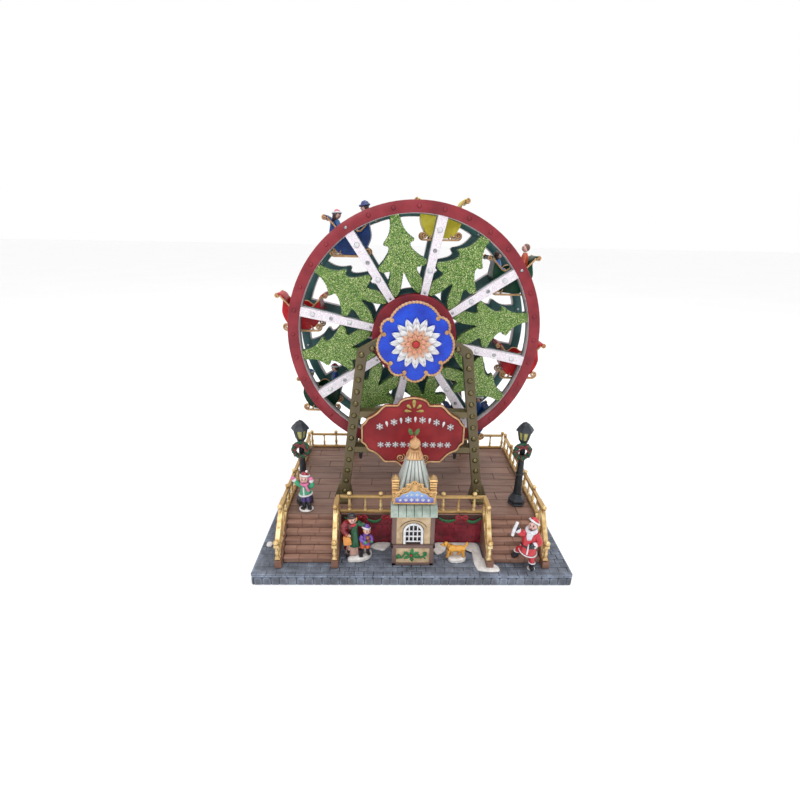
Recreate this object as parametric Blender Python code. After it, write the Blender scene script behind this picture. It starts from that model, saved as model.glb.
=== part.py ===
"""A tabletop ferris wheel for a winter village, with its base, deck, booth and figures.

Metres, +Z up. The origin is the middle of the base's underside and the front faces -Y.
Depths are measured backwards from the front edge of the base with back().
"""

import math

import bmesh
import bpy
from mathutils import Matrix, Vector

MM = 0.001
GAP = 0.3 * MM

# Base, plinth and deck
BASE_WIDTH = 320 * MM
BASE_DEPTH = 210 * MM
BASE_HEIGHT = 12 * MM
BASE_CORNER = 3 * MM
DECK_TOP = 49.5 * MM
DECK_THICKNESS = 5.6 * MM
DECK_HALF_WIDTH = 138.5 * MM
DECK_FRONT = 48.6 * MM
DECK_BACK = 209 * MM
PLINTH_HALF_WIDTH = 132 * MM
PLINTH_FRONT = 49.6 * MM
PLINTH_BACK = 203 * MM

# Stairs: two flights of five treads beside the booth
STEP_COUNT = 5
STAIR_FRONT = 18.1 * MM
STAIR_BACK = DECK_FRONT - GAP
STAIR_INNER = 74.8 * MM
STAIR_OUTER = 138.2 * MM
CHEEK_WIDTH = 6.9 * MM
CHEEK_FRONT = 9.5 * MM
CHEEK_BLOCK_BACK = 16.5 * MM
CHEEK_BLOCK_TOP = 20.8 * MM
CHEEK_BACK_TOP = 49.2 * MM

# Railings
RAIL_SIDES = 5
RAIL_BAR = 3.5 * MM
HANDRAIL_WIDTH = 4.8 * MM
HANDRAIL_THICK = 4.4 * MM
FOOT_BAR_THICK = 2.4 * MM
NEWEL_HALF = 2.6 * MM
RAIL_FRONT_REACH = 75.8 * MM
RAIL_TOP = 70.2 * MM
RAIL_SPACING = 33.4 * MM
RAIL_SIDE_X = 134.5 * MM
RAIL_INNER_X = 78.2 * MM
RAIL_FRONT_Y = 52 * MM
RAIL_BACK_Y = 206 * MM
RAIL_BACK_X = 131.8 * MM
UPPER_POST_Y = 33 * MM
LOWER_POST_Y = 13 * MM
LOWER_POST_TOP = 38.6 * MM
BALL_RADIUS = 2.3 * MM
BALL_RISE = 3.7 * MM
SINK = 1 * MM

# Street lamps
LAMP_X = 117 * MM
LAMP_Y = 71 * MM
WREATH_HEIGHT = 115.6 * MM
WREATH_RING = 7.2 * MM
WREATH_THICK = 2.1 * MM
LAMP_POST_RADIUS = 3 * MM
LAMP_PROFILE = (
    (9.6, 0), (9.6, 6), (6.2, 10.8), (4.6, 12.6), (4.1, 20), (3.5, 36), (4.4, 38), (3.4, 40),
    (3.0, 62), (2.9, 72), (4.0, 74.6), (7.6, 86), (9.4, 86.5), (9.4, 88), (4.0, 94.6),
    (1.6, 95.6), (1.6, 97), (0, 98),
)

# Ticket booth
BOOTH_HALF_WIDTH = 21 * MM
BOOTH_FRONT = 14 * MM
BOOTH_BACK = 48.3 * MM
BOOTH_TOP = 72.5 * MM
ROOF_TOP = 84 * MM
AWNING_FRONT = 9 * MM
AWNING_HALF_WIDTH = 22.7 * MM
AWNING_LIP_TOP = 79.8 * MM
AWNING_BACK = 22 * MM
AWNING_SLOPE_RUN = 6 * MM
COUNTER_LOW = 34.6 * MM
COUNTER_TOP = 38 * MM
COUNTER_REACH = 1.6 * MM
WINDOW_RADIUS = 9.9 * MM
WINDOW_SPRING = 53.4 * MM
WINDOW_DEPTH = 3 * MM
CREST_FRONT = 14.1 * MM
CREST_BACK = 16.2 * MM
CREST_HALF_WIDTH = 20.6 * MM
CREST_HALF = (
    (20.6, 95.6), (21.5, 97.4), (20.4, 98.9), (18.3, 98.0), (15, 98.4), (13.2, 100.4), (12.2, 102.4),
    (10.6, 102.6), (8.4, 102.8), (7.6, 106.2), (5.6, 107.5), (3.7, 107), (2.8, 109), (0, 110.4),
)
SPIRE_Y = 32.4 * MM
SPIRE_BASE = (19.8 * MM, 15.9 * MM)
SPIRE_HEAD = (8.2 * MM, 8.1 * MM)
SPIRE_TOP = 124.5 * MM
SPIRE_CORNER = 0.24
PLEATS_PER_SIDE = 6
PLEAT_DEPTH = 0.05
BELL = ((8.3, 0), (8.4, 1.2), (7.9, 2.4), (6.4, 6.6), (5.7, 9.6), (5.9, 10.4), (3, 10.7))
BELL_CORNER = 0.45
GLOBE_RADIUS = 5.7 * MM
GLOBE_HEIGHT = 140.6 * MM
TIP = ((1.9, 145.6), (1.2, 147.2), (0, 148.4))
HOLLY_LEAF = ((0.4, 147), (3.0, 148.6), (5.8, 152), (5.4, 155.6), (2.2, 154))
TOWER_X = 18.2 * MM
TOWER_Y = 22.6 * MM
TOWER_HALF = 3.6 * MM
TOWER_SHAFT_TOP = 110 * MM
TOWER_CAP_HALF = 2.7 * MM
TOWER_TOP = 113.8 * MM

# Wheel
HUB_HEIGHT = 227.5 * MM
WHEEL_FRONT = 105 * MM
WHEEL_THICK = 12 * MM
WHEEL_MIDDLE = 138.5 * MM
RIM_OUTER = 131 * MM
REAR_RIM_OUTER = 128 * MM
RIM_INNER = 119.7 * MM
RIM_SIDES = 48
HUB_RADIUS = 44 * MM
HUB_BORE = 5.4 * MM
DRUM_RADIUS = 13 * MM
AXLE_RADIUS = 5 * MM
ARM_COUNT = 8
FIRST_ARM_DEG = 33
PIN_CIRCLE = 121.6 * MM
PIN_RADIUS = 1.6 * MM
PIN_REACH = 9.8 * MM
TREE_HALF = (
    (4.6, 121), (6.2, 108), (10.1, 100.7), (15.2, 95), (10.2, 92.4), (11.3, 87.9), (15.7, 81.7),
    (24.4, 73.5), (20.9, 68.8), (12.8, 68.7), (17.4, 56), (12, 42.5), (5.7, 50.2), (0, 66.6),
)

# Gondolas
TUB_HALF_DEPTH = 14.5 * MM
TUB_WALL = 1.8 * MM
RUNNER_DEPTH = 2.6 * MM
RUNNER_INNER = 12.5 * MM
RUNNER_BOTTOM = -24.6 * MM
RUNNER_TOP = -22.7 * MM
SCROLL_X = 16.8 * MM
SCROLL_RADIUS = 3.4 * MM
TUB_CURVE = (
    (0, -21.4), (9.5, -21.1), (15.6, -15.6), (19.4, -8.4),
    (20.4, -1.5), (19.4, 6.5), (21, 12.6), (25.4, 13.4),
)
TUB_RAIL_EDGE = ((18.6, 8.8), (13, 2.2), (9.2, 0), (4, 3.6), (0, 4.5))
RIDER_GONDOLAS = (0, 2, 4, 6)

# Standing frames, sign and medallion
FRAME_FRONT = 76 * MM
LEG_DEPTH = 8 * MM
LEG_WIDTH = 10 * MM
FOOT_X = 75 * MM
ELBOW_X = 52.5 * MM
ELBOW_HEIGHT = 217.5 * MM
ARM_END_X = 16 * MM
ARM_END_HEIGHT = 241 * MM
FRONT_TOE = 9 * MM
REAR_TOE = 1.9 * MM
HEEL_REACH = 4 * MM
TOE_HALF_WIDTH = 8.5 * MM
TOE_HEIGHT = 3.4 * MM
FLARE_HALF_WIDTH = 9.5 * MM
FLARE_FOOT = 4 * MM
FLARE_TOP = 19 * MM
CROSSBAR_DEPTH = 13 * MM
UPPER_BAR = (148.5 * MM, 155.2 * MM)
LOWER_BAR = (107.8 * MM, 114.4 * MM)
HUB_PLATE_RADIUS = 25 * MM
SIGN_FRONT = 72 * MM
SIGN_BACK = FRAME_FRONT - 0.1 * MM
SIGN_HALF = (
    (16.3, 164.2), (29.1, 164.4), (37.5, 155.9), (46.6, 149.9), (49.3, 146.2), (54.2, 141),
    (54.2, 121.2), (50.2, 118.1), (46.8, 112.1), (41, 109.7), (35, 104.2), (30, 98.2), (16.6, 98.3),
)
SIGN_CROWN = 172.8
SIGN_TIP = 90.5
MEDALLION_FRONT = 71.8 * MM
MEDALLION_HEIGHT = 229 * MM
MEDALLION_NOTCH = 34.6
MEDALLION_LOBES = (
    (-38, 19, 38.6), (19, 48.5, 38), (48.5, 136.5, 40), (136.5, 165, 38), (165, 220, 38.6),
    (220, 250.5, 39), (250.5, 290, 40.3), (290, 322, 39),
)

# Figures: where they stand, the height of a coat's hem as a share of the figure's, and the coat's shape
# as shares of its girth and of the figure's height
CHILD_AT = (-113 * MM, 56 * MM)
WOMAN_AT = (-61.6 * MM, 28.6 * MM)
MAN_AT = (117.6 * MM, 10.6 * MM)
DOG_AT = (45.6 * MM, 24 * MM)
HEM = 0.3
COAT = ((1, 0), (0.76, 0.28), (0.8, 0.42), (0.34, 0.5))

COLOURS = {
    "stone_grey": ((0.11, 0.13, 0.16), 0.0, 0.7),
    "plank_brown": ((0.23, 0.13, 0.10), 0.0, 0.6),
    "brick_red": ((0.18, 0.02, 0.035), 0.0, 0.5),
    "rail_gold": ((0.62, 0.36, 0.11), 0.6, 0.35),
    "lamp_black": ((0.035, 0.04, 0.05), 0.0, 0.5),
    "wreath_green": ((0.02, 0.11, 0.05), 0.0, 0.7),
    "booth_tan": ((0.50, 0.35, 0.20), 0.0, 0.6),
    "awning_green": ((0.42, 0.50, 0.42), 0.0, 0.5),
    "booth_blue": ((0.10, 0.16, 0.45), 0.0, 0.5),
    "window_white": ((0.75, 0.78, 0.82), 0.0, 0.5),
    "spire_silver": ((0.42, 0.48, 0.44), 0.2, 0.45),
    "finial_gold": ((0.66, 0.41, 0.16), 0.6, 0.35),
    "frame_bronze": ((0.13, 0.11, 0.06), 0.3, 0.45),
    "sign_red": ((0.28, 0.03, 0.035), 0.0, 0.4),
    "medallion_blue": ((0.02, 0.08, 0.62), 0.0, 0.4),
    "axle_steel": ((0.5, 0.5, 0.5), 0.9, 0.4),
    "wheel_red": ((0.33, 0.04, 0.06), 0.1, 0.4),
    "figure_paint": ((0.35, 0.12, 0.08), 0.0, 0.6),
    "gondola_yellow": ((0.55, 0.42, 0.04), 0.0, 0.4),
    "gondola_blue": ((0.02, 0.06, 0.2), 0.0, 0.4),
    "gondola_red": ((0.4, 0.02, 0.02), 0.0, 0.4),
    "gondola_green": ((0.01, 0.09, 0.03), 0.0, 0.4),
}


def back(depth):
    """World Y of a point this far behind the front edge of the base."""
    return depth - BASE_DEPTH / 2


def in_mm(points):
    """Scale (a, b) pairs written in millimetres to metres."""
    return [(a * MM, b * MM) for a, b in points]


def mirrored(half):
    """Close a half outline, listed from top to bottom at +X, with its mirror image."""
    return list(half) + [(-a, b) for a, b in reversed(half) if abs(a) > 1e-9]


def arc(centre, radius, start_deg, end_deg, steps):
    """Points on an arc, both ends included."""
    angles = [math.radians(start_deg + (end_deg - start_deg) * i / steps) for i in range(steps + 1)]
    return [(centre[0] + radius * math.cos(a), centre[1] + radius * math.sin(a)) for a in angles]


def lobe(start, end, apex_radius, steps):
    """Points from start to end, both given in polar form, on the circle through a higher apex."""
    low = Vector((start[0] * math.cos(start[1]), start[0] * math.sin(start[1])))
    high = Vector((end[0] * math.cos(end[1]), end[0] * math.sin(end[1])))
    middle = (start[1] + end[1]) / 2
    outward = Vector((math.cos(middle), math.sin(middle)))
    half_chord = (high - low).length / 2
    rise = apex_radius - ((high + low) / 2).dot(outward)
    radius = (half_chord ** 2 + rise ** 2) / (2 * rise)
    centre = outward * (apex_radius - radius)
    first = math.atan2((low - centre).y, (low - centre).x)
    last = math.atan2((high - centre).y, (high - centre).x)
    if last < first:
        last += 2 * math.pi
    return arc(centre, radius, math.degrees(first), math.degrees(last), steps)[:-1]


def block(x, y, z):
    """A box from three (low, high) pairs."""
    shape = bmesh.new()
    size = Matrix.Diagonal((x[1] - x[0], y[1] - y[0], z[1] - z[0], 1))
    centre = Matrix.Translation(((x[0] + x[1]) / 2, (y[0] + y[1]) / 2, (z[0] + z[1]) / 2))
    bmesh.ops.create_cube(shape, size=1, matrix=centre @ size)
    return shape


def prism(outline, low, high, axis="Y"):
    """An outline swept from low to high: (x, z) pairs along Y, (y, z) along X or (x, y) along Z."""
    shape = bmesh.new()
    place = {
        "X": lambda a, b: (low, a, b),
        "Y": lambda a, b: (a, low, b),
        "Z": lambda a, b: (a, b, low),
    }[axis]
    face = shape.faces.new([shape.verts.new(place(a, b)) for a, b in outline])
    swept = bmesh.ops.extrude_face_region(shape, geom=[face])
    moved = [item for item in swept["geom"] if isinstance(item, bmesh.types.BMVert)]
    step = Vector([high - low if axis == name else 0 for name in "XYZ"])
    bmesh.ops.translate(shape, verts=moved, vec=step)
    return shape


def turned(profile, sides, centre=(0, 0, 0), axis="Z", turn_deg=0, pleat=0):
    """A turned solid from (radius, height) pairs, closed at both ends; pleat varies the radius."""
    shape = bmesh.new()
    rings = []
    for radius, height in profile:
        if radius == 0:
            rings.append([shape.verts.new((0, 0, height))])
            continue
        ring = []
        for i in range(sides):
            angle = math.radians(turn_deg) + 2 * math.pi * i / sides
            reach = radius * (1 + (pleat if i % 2 else -pleat))
            ring.append(shape.verts.new((reach * math.cos(angle), reach * math.sin(angle), height)))
        rings.append(ring)
    for lower, upper in zip(rings, rings[1:]):
        for i in range(sides):
            j = (i + 1) % sides
            if len(lower) == 1:
                shape.faces.new((lower[0], upper[i], upper[j]))
            elif len(upper) == 1:
                shape.faces.new((lower[i], lower[j], upper[0]))
            else:
                shape.faces.new((lower[i], lower[j], upper[j], upper[i]))
    for ring in (rings[0], rings[-1]):
        if len(ring) > 1:
            shape.faces.new(ring)
    lay = Matrix.Identity(4)
    if axis == "Y":
        lay = Matrix.Rotation(math.radians(-90), 4, "X")
    bmesh.ops.transform(shape, matrix=Matrix.Translation(centre) @ lay, verts=shape.verts)
    return shape


def lofted(rings):
    """A closed solid through rings of points, all with the same count."""
    shape = bmesh.new()
    loops = [[shape.verts.new(point) for point in points] for points in rings]
    for lower, upper in zip(loops, loops[1:]):
        for i in range(len(lower)):
            j = (i + 1) % len(lower)
            shape.faces.new((lower[i], lower[j], upper[j], upper[i]))
    for loop in (loops[0], loops[-1]):
        shape.faces.new(loop)
    return shape


def rounded_rectangle(half_x, half_y, corner, per_side, pleat=0):
    """Points round a rectangle with cut corners; every second one is drawn in by the pleat."""
    points = []
    for side in range(4):
        turn = math.pi / 2 * side
        for i in range(2 * per_side):
            along = (1 - corner) * (i / per_side - 1 + 0.5 / per_side)
            reach = 1 - pleat * (i % 2)
            x = reach * math.cos(turn) - along * math.sin(turn)
            y = reach * math.sin(turn) + along * math.cos(turn)
            points.append((x * half_x, y * half_y))
    return points


def ball(centre, radius, sides=6, rings=4):
    """A faceted ball."""
    angles = [math.pi * i / rings for i in range(rings + 1)]
    profile = [(radius * math.sin(a), -radius * math.cos(a)) for a in angles]
    profile[0] = (0, -radius)
    profile[-1] = (0, radius)
    return turned(profile, sides, centre)


def ring(inner, outer, low, high, sides, centre=(0, 0)):
    """A flat ring about the Y axis, from low to high in Y."""
    shape = bmesh.new()
    loops = []
    for radius, y in ((inner, low), (outer, low), (outer, high), (inner, high)):
        loops.append([shape.verts.new((x, y, z)) for x, z in arc(centre, radius, 0, 360, sides)[:-1]])
    for first, second in zip(loops, loops[1:] + loops[:1]):
        for i in range(sides):
            j = (i + 1) % sides
            shape.faces.new((first[i], first[j], second[j], second[i]))
    return shape


def limb(start, end, radius, sides=6):
    """A straight round limb between two points, with flat ends."""
    start, end = Vector(start), Vector(end)
    shape = turned([(radius, 0), (radius, (end - start).length)], sides)
    turn = (end - start).to_track_quat("Z", "Y").to_matrix().to_4x4()
    bmesh.ops.transform(shape, matrix=Matrix.Translation(start) @ turn, verts=shape.verts)
    return shape


def turned_in_plane(shape, angle_deg):
    """The shape turned about the Y axis, counter-clockwise as seen from the front."""
    bmesh.ops.transform(shape, matrix=Matrix.Rotation(math.radians(-angle_deg), 4, "Y"), verts=shape.verts)
    return shape


def material(name):
    """A painted finish from the table of colours."""
    found = bpy.data.materials.get(name)
    if found:
        return found
    colour, metallic, roughness = COLOURS[name]
    made = bpy.data.materials.new(name)
    made.use_nodes = True
    shader = made.node_tree.nodes["Principled BSDF"]
    shader.inputs["Base Color"].default_value = (*colour, 1)
    shader.inputs["Metallic"].default_value = metallic
    shader.inputs["Roughness"].default_value = roughness
    return made


def mesh_of(name, shape):
    """The shape as a mesh with its faces pointing out."""
    bmesh.ops.recalc_face_normals(shape, faces=shape.faces)
    mesh = bpy.data.meshes.new(name)
    shape.to_mesh(mesh)
    shape.free()
    return mesh


def fused_mesh(name, shapes, holes=()):
    """One closed mesh of overlapping shapes, less the holes."""
    made = bpy.data.objects.new(name, mesh_of(name, shapes[0]))
    bpy.context.scene.collection.objects.link(made)
    tools = []
    for operation, pieces in (("UNION", shapes[1:]), ("DIFFERENCE", holes)):
        if not pieces:
            continue
        group = bpy.data.collections.new(operation)
        for piece in pieces:
            tool = bpy.data.objects.new(f"{name}_tool", mesh_of(f"{name}_tool", piece))
            group.objects.link(tool)
            tools.append(tool)
        modifier = made.modifiers.new(operation, "BOOLEAN")
        modifier.operation = operation
        modifier.operand_type = "COLLECTION"
        modifier.collection = group
        modifier.solver = "EXACT"
    mesh = bpy.data.meshes.new_from_object(made.evaluated_get(bpy.context.evaluated_depsgraph_get()))
    mesh.name = name
    for spent in [made, *tools]:
        bpy.data.objects.remove(spent)
    return mesh


def piece(name, mesh, finish, location=(0, 0, 0)):
    """An object in the scene with its own finish, smooth except at its edges."""
    mesh.shade_smooth()
    mesh.set_sharp_from_angle(angle=math.radians(40))
    made = bpy.data.objects.new(name, mesh)
    bpy.context.scene.collection.objects.link(made)
    made.location = location
    if not mesh.materials:
        mesh.materials.append(material(finish))
    return made


def build_base():
    """The cast stone base, its upright corners cut round."""
    half_width, half_depth = BASE_WIDTH / 2, BASE_DEPTH / 2
    outline = []
    for sign_x, sign_y, start in ((1, 1, 0), (-1, 1, 90), (-1, -1, 180), (1, -1, 270)):
        centre = (sign_x * (half_width - BASE_CORNER), sign_y * (half_depth - BASE_CORNER))
        outline += arc(centre, BASE_CORNER, start, start + 90, 3)
    piece("base_plate", mesh_of("base_plate", prism(outline, 0, BASE_HEIGHT, "Z")), "stone_grey")


def build_deck():
    """The plank deck and the brick plinth that carries it."""
    deck = block(
        (-DECK_HALF_WIDTH, DECK_HALF_WIDTH),
        (back(DECK_FRONT), back(DECK_BACK)),
        (DECK_TOP - DECK_THICKNESS, DECK_TOP),
    )
    piece("deck", mesh_of("deck", deck), "plank_brown")
    plinth = block(
        (-PLINTH_HALF_WIDTH, PLINTH_HALF_WIDTH),
        (back(PLINTH_FRONT), back(PLINTH_BACK)),
        (BASE_HEIGHT + GAP, DECK_TOP - DECK_THICKNESS - GAP),
    )
    piece("brick_plinth", mesh_of("brick_plinth", plinth), "brick_red")


def build_stairs():
    """Two flights: five treads between sloping cheeks."""
    foot = BASE_HEIGHT + GAP
    rise = (DECK_TOP - BASE_HEIGHT) / (STEP_COUNT + 1)
    run = (STAIR_BACK - STAIR_FRONT) / STEP_COUNT
    treads = [(back(STAIR_FRONT), foot)]
    for i in range(STEP_COUNT):
        height = BASE_HEIGHT + rise * (i + 1)
        treads.append((back(STAIR_FRONT + run * i), height))
        treads.append((back(STAIR_FRONT + run * (i + 1)), height))
    treads.append((back(STAIR_BACK), foot))
    cheek = [
        (back(CHEEK_FRONT), foot),
        (back(CHEEK_FRONT), CHEEK_BLOCK_TOP),
        (back(CHEEK_BLOCK_BACK), CHEEK_BLOCK_TOP),
        (back(STAIR_BACK) - GAP, CHEEK_BACK_TOP),
        (back(STAIR_BACK) - GAP, foot),
    ]
    overlap = 0.5 * MM
    for name, side in (("stairs_left", -1), ("stairs_right", 1)):
        spans = [
            (STAIR_INNER + CHEEK_WIDTH - overlap, STAIR_OUTER - CHEEK_WIDTH + overlap),
            (STAIR_INNER, STAIR_INNER + CHEEK_WIDTH),
            (STAIR_OUTER - CHEEK_WIDTH, STAIR_OUTER),
        ]
        shapes = []
        for outline, (near, far) in zip((treads, cheek, cheek), spans):
            low, high = sorted((side * near, side * far))
            shapes.append(prism(outline, low, high, "X"))
        piece(name, fused_mesh(name, shapes), "plank_brown")


def baluster(x, depth, low, high):
    """A slim turned baluster between two rails."""
    span = high - low
    profile = [(1.8 * MM, 0), (1.9 * MM, 0.3 * span), (1.2 * MM, span)]
    return turned(profile, RAIL_SIDES, (x, back(depth), low))


def ball_post(x, depth, low, top):
    """A turned post that carries a ball on the rail."""
    span = top - low
    profile = [
        (2.1 * MM, 0),
        (1.6 * MM, span),
        (BALL_RADIUS, span + BALL_RISE - BALL_RADIUS),
        (0, span + BALL_RISE),
    ]
    return turned(profile, RAIL_SIDES, (x, back(depth), low))


def level_bar(x, depth, top):
    """A straight bar between two (low, high) spans, one of them a rail's own width."""
    return block(x, (back(depth[0]), back(depth[1])), (top - RAIL_BAR, top))


def centred(value, half=RAIL_BAR / 2):
    """The span of a bar's width about its middle."""
    return (value - half, value + half)


def build_straight_rails():
    """The back rail, and the front rail that runs behind the booth."""
    foot = DECK_TOP + GAP
    bottom_top = foot + RAIL_BAR
    for name, reach, depth, spacing in (
        ("rail_back", RAIL_BACK_X, RAIL_BACK_Y, RAIL_BACK_X / 4),
        ("rail_front", RAIL_FRONT_REACH, RAIL_FRONT_Y, RAIL_SPACING * 0.99),
    ):
        shapes = [level_bar((-reach, reach), centred(depth), top) for top in (RAIL_TOP, bottom_top)]
        for i in range(-8, 9):
            x = i * spacing / 2
            if abs(x) > reach + GAP:
                continue
            if i % 2:
                shapes.append(baluster(x, depth, bottom_top - SINK, RAIL_TOP - SINK))
            else:
                shapes.append(ball_post(x, depth, bottom_top - SINK, RAIL_TOP - SINK / 2))
        piece(name, fused_mesh(name, shapes), "rail_gold")


def stair_rail_shapes(x, level_back):
    """The sloping rail of one flight, and the level stretch behind its upper post."""
    cheek_slope = (CHEEK_BACK_TOP - CHEEK_BLOCK_TOP) / (STAIR_BACK - CHEEK_BLOCK_BACK)

    def cheek_top(depth):
        return CHEEK_BLOCK_TOP + cheek_slope * (depth - CHEEK_BLOCK_BACK) + GAP

    def sloped(start, end, thick, wide):
        points = [start, end, (end[0], end[1] + thick), (start[0], start[1] + thick)]
        outline = [(back(depth), height) for depth, height in points]
        return prism(outline, *centred(x, wide / 2), "X")

    handrail_low = (LOWER_POST_Y - SINK, LOWER_POST_TOP - HANDRAIL_THICK)
    handrail_high = (UPPER_POST_Y + SINK, RAIL_TOP - HANDRAIL_THICK)
    foot_start = (CHEEK_BLOCK_BACK - 2 * SINK, cheek_top(CHEEK_BLOCK_BACK))
    foot_end = (STAIR_BACK, cheek_top(STAIR_BACK))
    middle = (UPPER_POST_Y + LOWER_POST_Y) / 2
    landing = (UPPER_POST_Y + DECK_FRONT) / 2
    seat = FOOT_BAR_THICK - SINK / 2
    under_handrail = (LOWER_POST_TOP + RAIL_TOP - SINK) / 2 - HANDRAIL_THICK + SINK
    return [
        level_bar(centred(x, HANDRAIL_WIDTH / 2), (UPPER_POST_Y, DECK_FRONT), RAIL_TOP),
        level_bar(centred(x), (DECK_FRONT - SINK, level_back), RAIL_TOP - GAP / 3),
        sloped(handrail_low, handrail_high, HANDRAIL_THICK, HANDRAIL_WIDTH),
        sloped(foot_start, foot_end, FOOT_BAR_THICK, RAIL_BAR),
        ball_post(x, LOWER_POST_Y, CHEEK_BLOCK_TOP + GAP, LOWER_POST_TOP),
        ball_post(x, UPPER_POST_Y, cheek_top(UPPER_POST_Y) + seat, RAIL_TOP - SINK / 2),
        baluster(x, middle, cheek_top(middle) + seat, under_handrail),
        baluster(x, landing, cheek_top(landing) + seat, RAIL_TOP - SINK),
        level_bar(centred(x, NEWEL_HALF), centred(LOWER_POST_Y, NEWEL_HALF), LOWER_POST_TOP),
    ]


def build_stair_rails():
    """Inner stair rails up to the front rail, and outer ones that run on along the deck's sides."""
    bottom_top = DECK_TOP + GAP + RAIL_BAR
    for side, word in ((-1, "left"), (1, "right")):
        inner = stair_rail_shapes(side * RAIL_INNER_X, RAIL_FRONT_Y + RAIL_BAR / 2)
        inner.append(baluster(side * RAIL_INNER_X, RAIL_FRONT_Y - GAP, DECK_TOP + GAP, RAIL_TOP - SINK))
        piece(f"stair_rail_{word}", fused_mesh(f"stair_rail_{word}", inner), "rail_gold")
        x = side * RAIL_SIDE_X
        end = UPPER_POST_Y + 5 * RAIL_SPACING + 2 * SINK
        outer = stair_rail_shapes(x, end)
        outer.append(level_bar(centred(x), (DECK_FRONT + 2 * GAP, end), bottom_top))
        outer.append(sloping_joint(x, bottom_top))
        outer.append(baluster(x, DECK_FRONT + 3 * SINK, bottom_top - SINK, RAIL_TOP - SINK))
        for i in range(2, 11):
            depth = UPPER_POST_Y + i * RAIL_SPACING / 2
            if i % 2:
                outer.append(baluster(x, depth, bottom_top - SINK, RAIL_TOP - SINK))
            else:
                outer.append(ball_post(x, depth, bottom_top - SINK, RAIL_TOP - SINK / 2))
        piece(f"rail_{word}", fused_mesh(f"rail_{word}", outer), "rail_gold")


def sloping_joint(x, top):
    """The block that joins the stair's foot bar to the deck's bottom bar."""
    return block(
        centred(x, RAIL_BAR / 2 - GAP / 2),
        (back(DECK_FRONT - 2 * SINK), back(DECK_FRONT + 2 * SINK)),
        (DECK_TOP + 2 * GAP, top - 1.5 * GAP),
    )


def build_lamps():
    """Six-sided street lamps, each with a wreath hung on the front of its post."""
    profile = in_mm(LAMP_PROFILE)
    wreath_y = back(LAMP_Y) - LAMP_POST_RADIUS - GAP - WREATH_THICK
    for side, word in ((-1, "left"), (1, "right")):
        post = turned(profile, 6, (side * LAMP_X, back(LAMP_Y), DECK_TOP + GAP))
        piece(f"lamp_{word}", mesh_of(f"lamp_{word}", post), "lamp_black")
        wreath = torus((side * LAMP_X, wreath_y, WREATH_HEIGHT), WREATH_RING, WREATH_THICK)
        piece(f"wreath_{word}", mesh_of(f"wreath_{word}", wreath), "wreath_green")


def torus(centre, major, minor, around=16, across=5):
    """A ring of round section that faces the front."""
    shape = bmesh.new()
    loops = []
    for i in range(around):
        turn = 2 * math.pi * i / around
        loop = []
        for a, b in arc((major, 0), minor, 0, 360, across)[:-1]:
            point = (centre[0] + a * math.cos(turn), centre[1] + b, centre[2] + a * math.sin(turn))
            loop.append(shape.verts.new(point))
        loops.append(loop)
    for first, second in zip(loops, loops[1:] + loops[:1]):
        for i in range(across):
            j = (i + 1) % across
            shape.faces.new((first[i], first[j], second[j], second[i]))
    return shape


def arch_outline(radius, foot, steps=10):
    """A round-headed window opening, from its sill up."""
    head = arc((0, WINDOW_SPRING), radius, 0, 180, steps)
    return [(radius, foot)] + head + [(-radius, foot)]


def build_booth_body():
    """The booth's walls with the recess for its window, its counter, the window and the awning."""
    foot = BASE_HEIGHT + GAP
    section = [
        (back(BOOTH_FRONT), foot),
        (back(BOOTH_FRONT), BOOTH_TOP),
        (back(AWNING_BACK) + GAP, BOOTH_TOP),
        (back(AWNING_BACK) + GAP, ROOF_TOP),
        (back(BOOTH_BACK), ROOF_TOP),
        (back(BOOTH_BACK), foot),
    ]
    walls = prism(section, -BOOTH_HALF_WIDTH, BOOTH_HALF_WIDTH, "X")
    reach = AWNING_HALF_WIDTH - 0.8 * MM
    counter_span = (back(BOOTH_FRONT) - COUNTER_REACH, back(BOOTH_FRONT) + SINK)
    counter = block((-reach, reach), counter_span, (COUNTER_LOW, COUNTER_TOP))
    opening = arch_outline(WINDOW_RADIUS + GAP, COUNTER_TOP + GAP)
    recess = prism(opening, back(BOOTH_FRONT) - SINK, back(BOOTH_FRONT) + WINDOW_DEPTH)
    piece("booth_body", fused_mesh("booth_body", [walls, counter], [recess]), "booth_tan")
    frame = arch_outline(WINDOW_RADIUS, COUNTER_TOP + 2 * GAP)
    window = prism(frame, back(BOOTH_FRONT) - 2 * GAP, back(BOOTH_FRONT) + WINDOW_DEPTH - GAP)
    piece("booth_window", mesh_of("booth_window", window), "window_white")
    awning = [
        (back(AWNING_FRONT), BOOTH_TOP + GAP),
        (back(AWNING_FRONT), AWNING_LIP_TOP),
        (back(AWNING_FRONT) + AWNING_SLOPE_RUN, ROOF_TOP),
        (back(AWNING_BACK), ROOF_TOP),
        (back(AWNING_BACK), BOOTH_TOP + GAP),
    ]
    shape = prism(awning, -AWNING_HALF_WIDTH, AWNING_HALF_WIDTH, "X")
    piece("booth_awning", mesh_of("booth_awning", shape), "awning_green")


def spire_ring(share, clearance, pleat):
    """One level of the spire, from its foot at 0 to its head at 1, grown by the clearance."""
    half_x, half_y = (low + (high - low) * share + clearance for low, high in zip(SPIRE_BASE, SPIRE_HEAD))
    height = ROOF_TOP + GAP + (SPIRE_TOP - ROOF_TOP - GAP) * share
    outline = rounded_rectangle(half_x, half_y, SPIRE_CORNER, PLEATS_PER_SIDE, pleat)
    return [(x, back(SPIRE_Y) + y, height) for x, y in outline]


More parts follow.
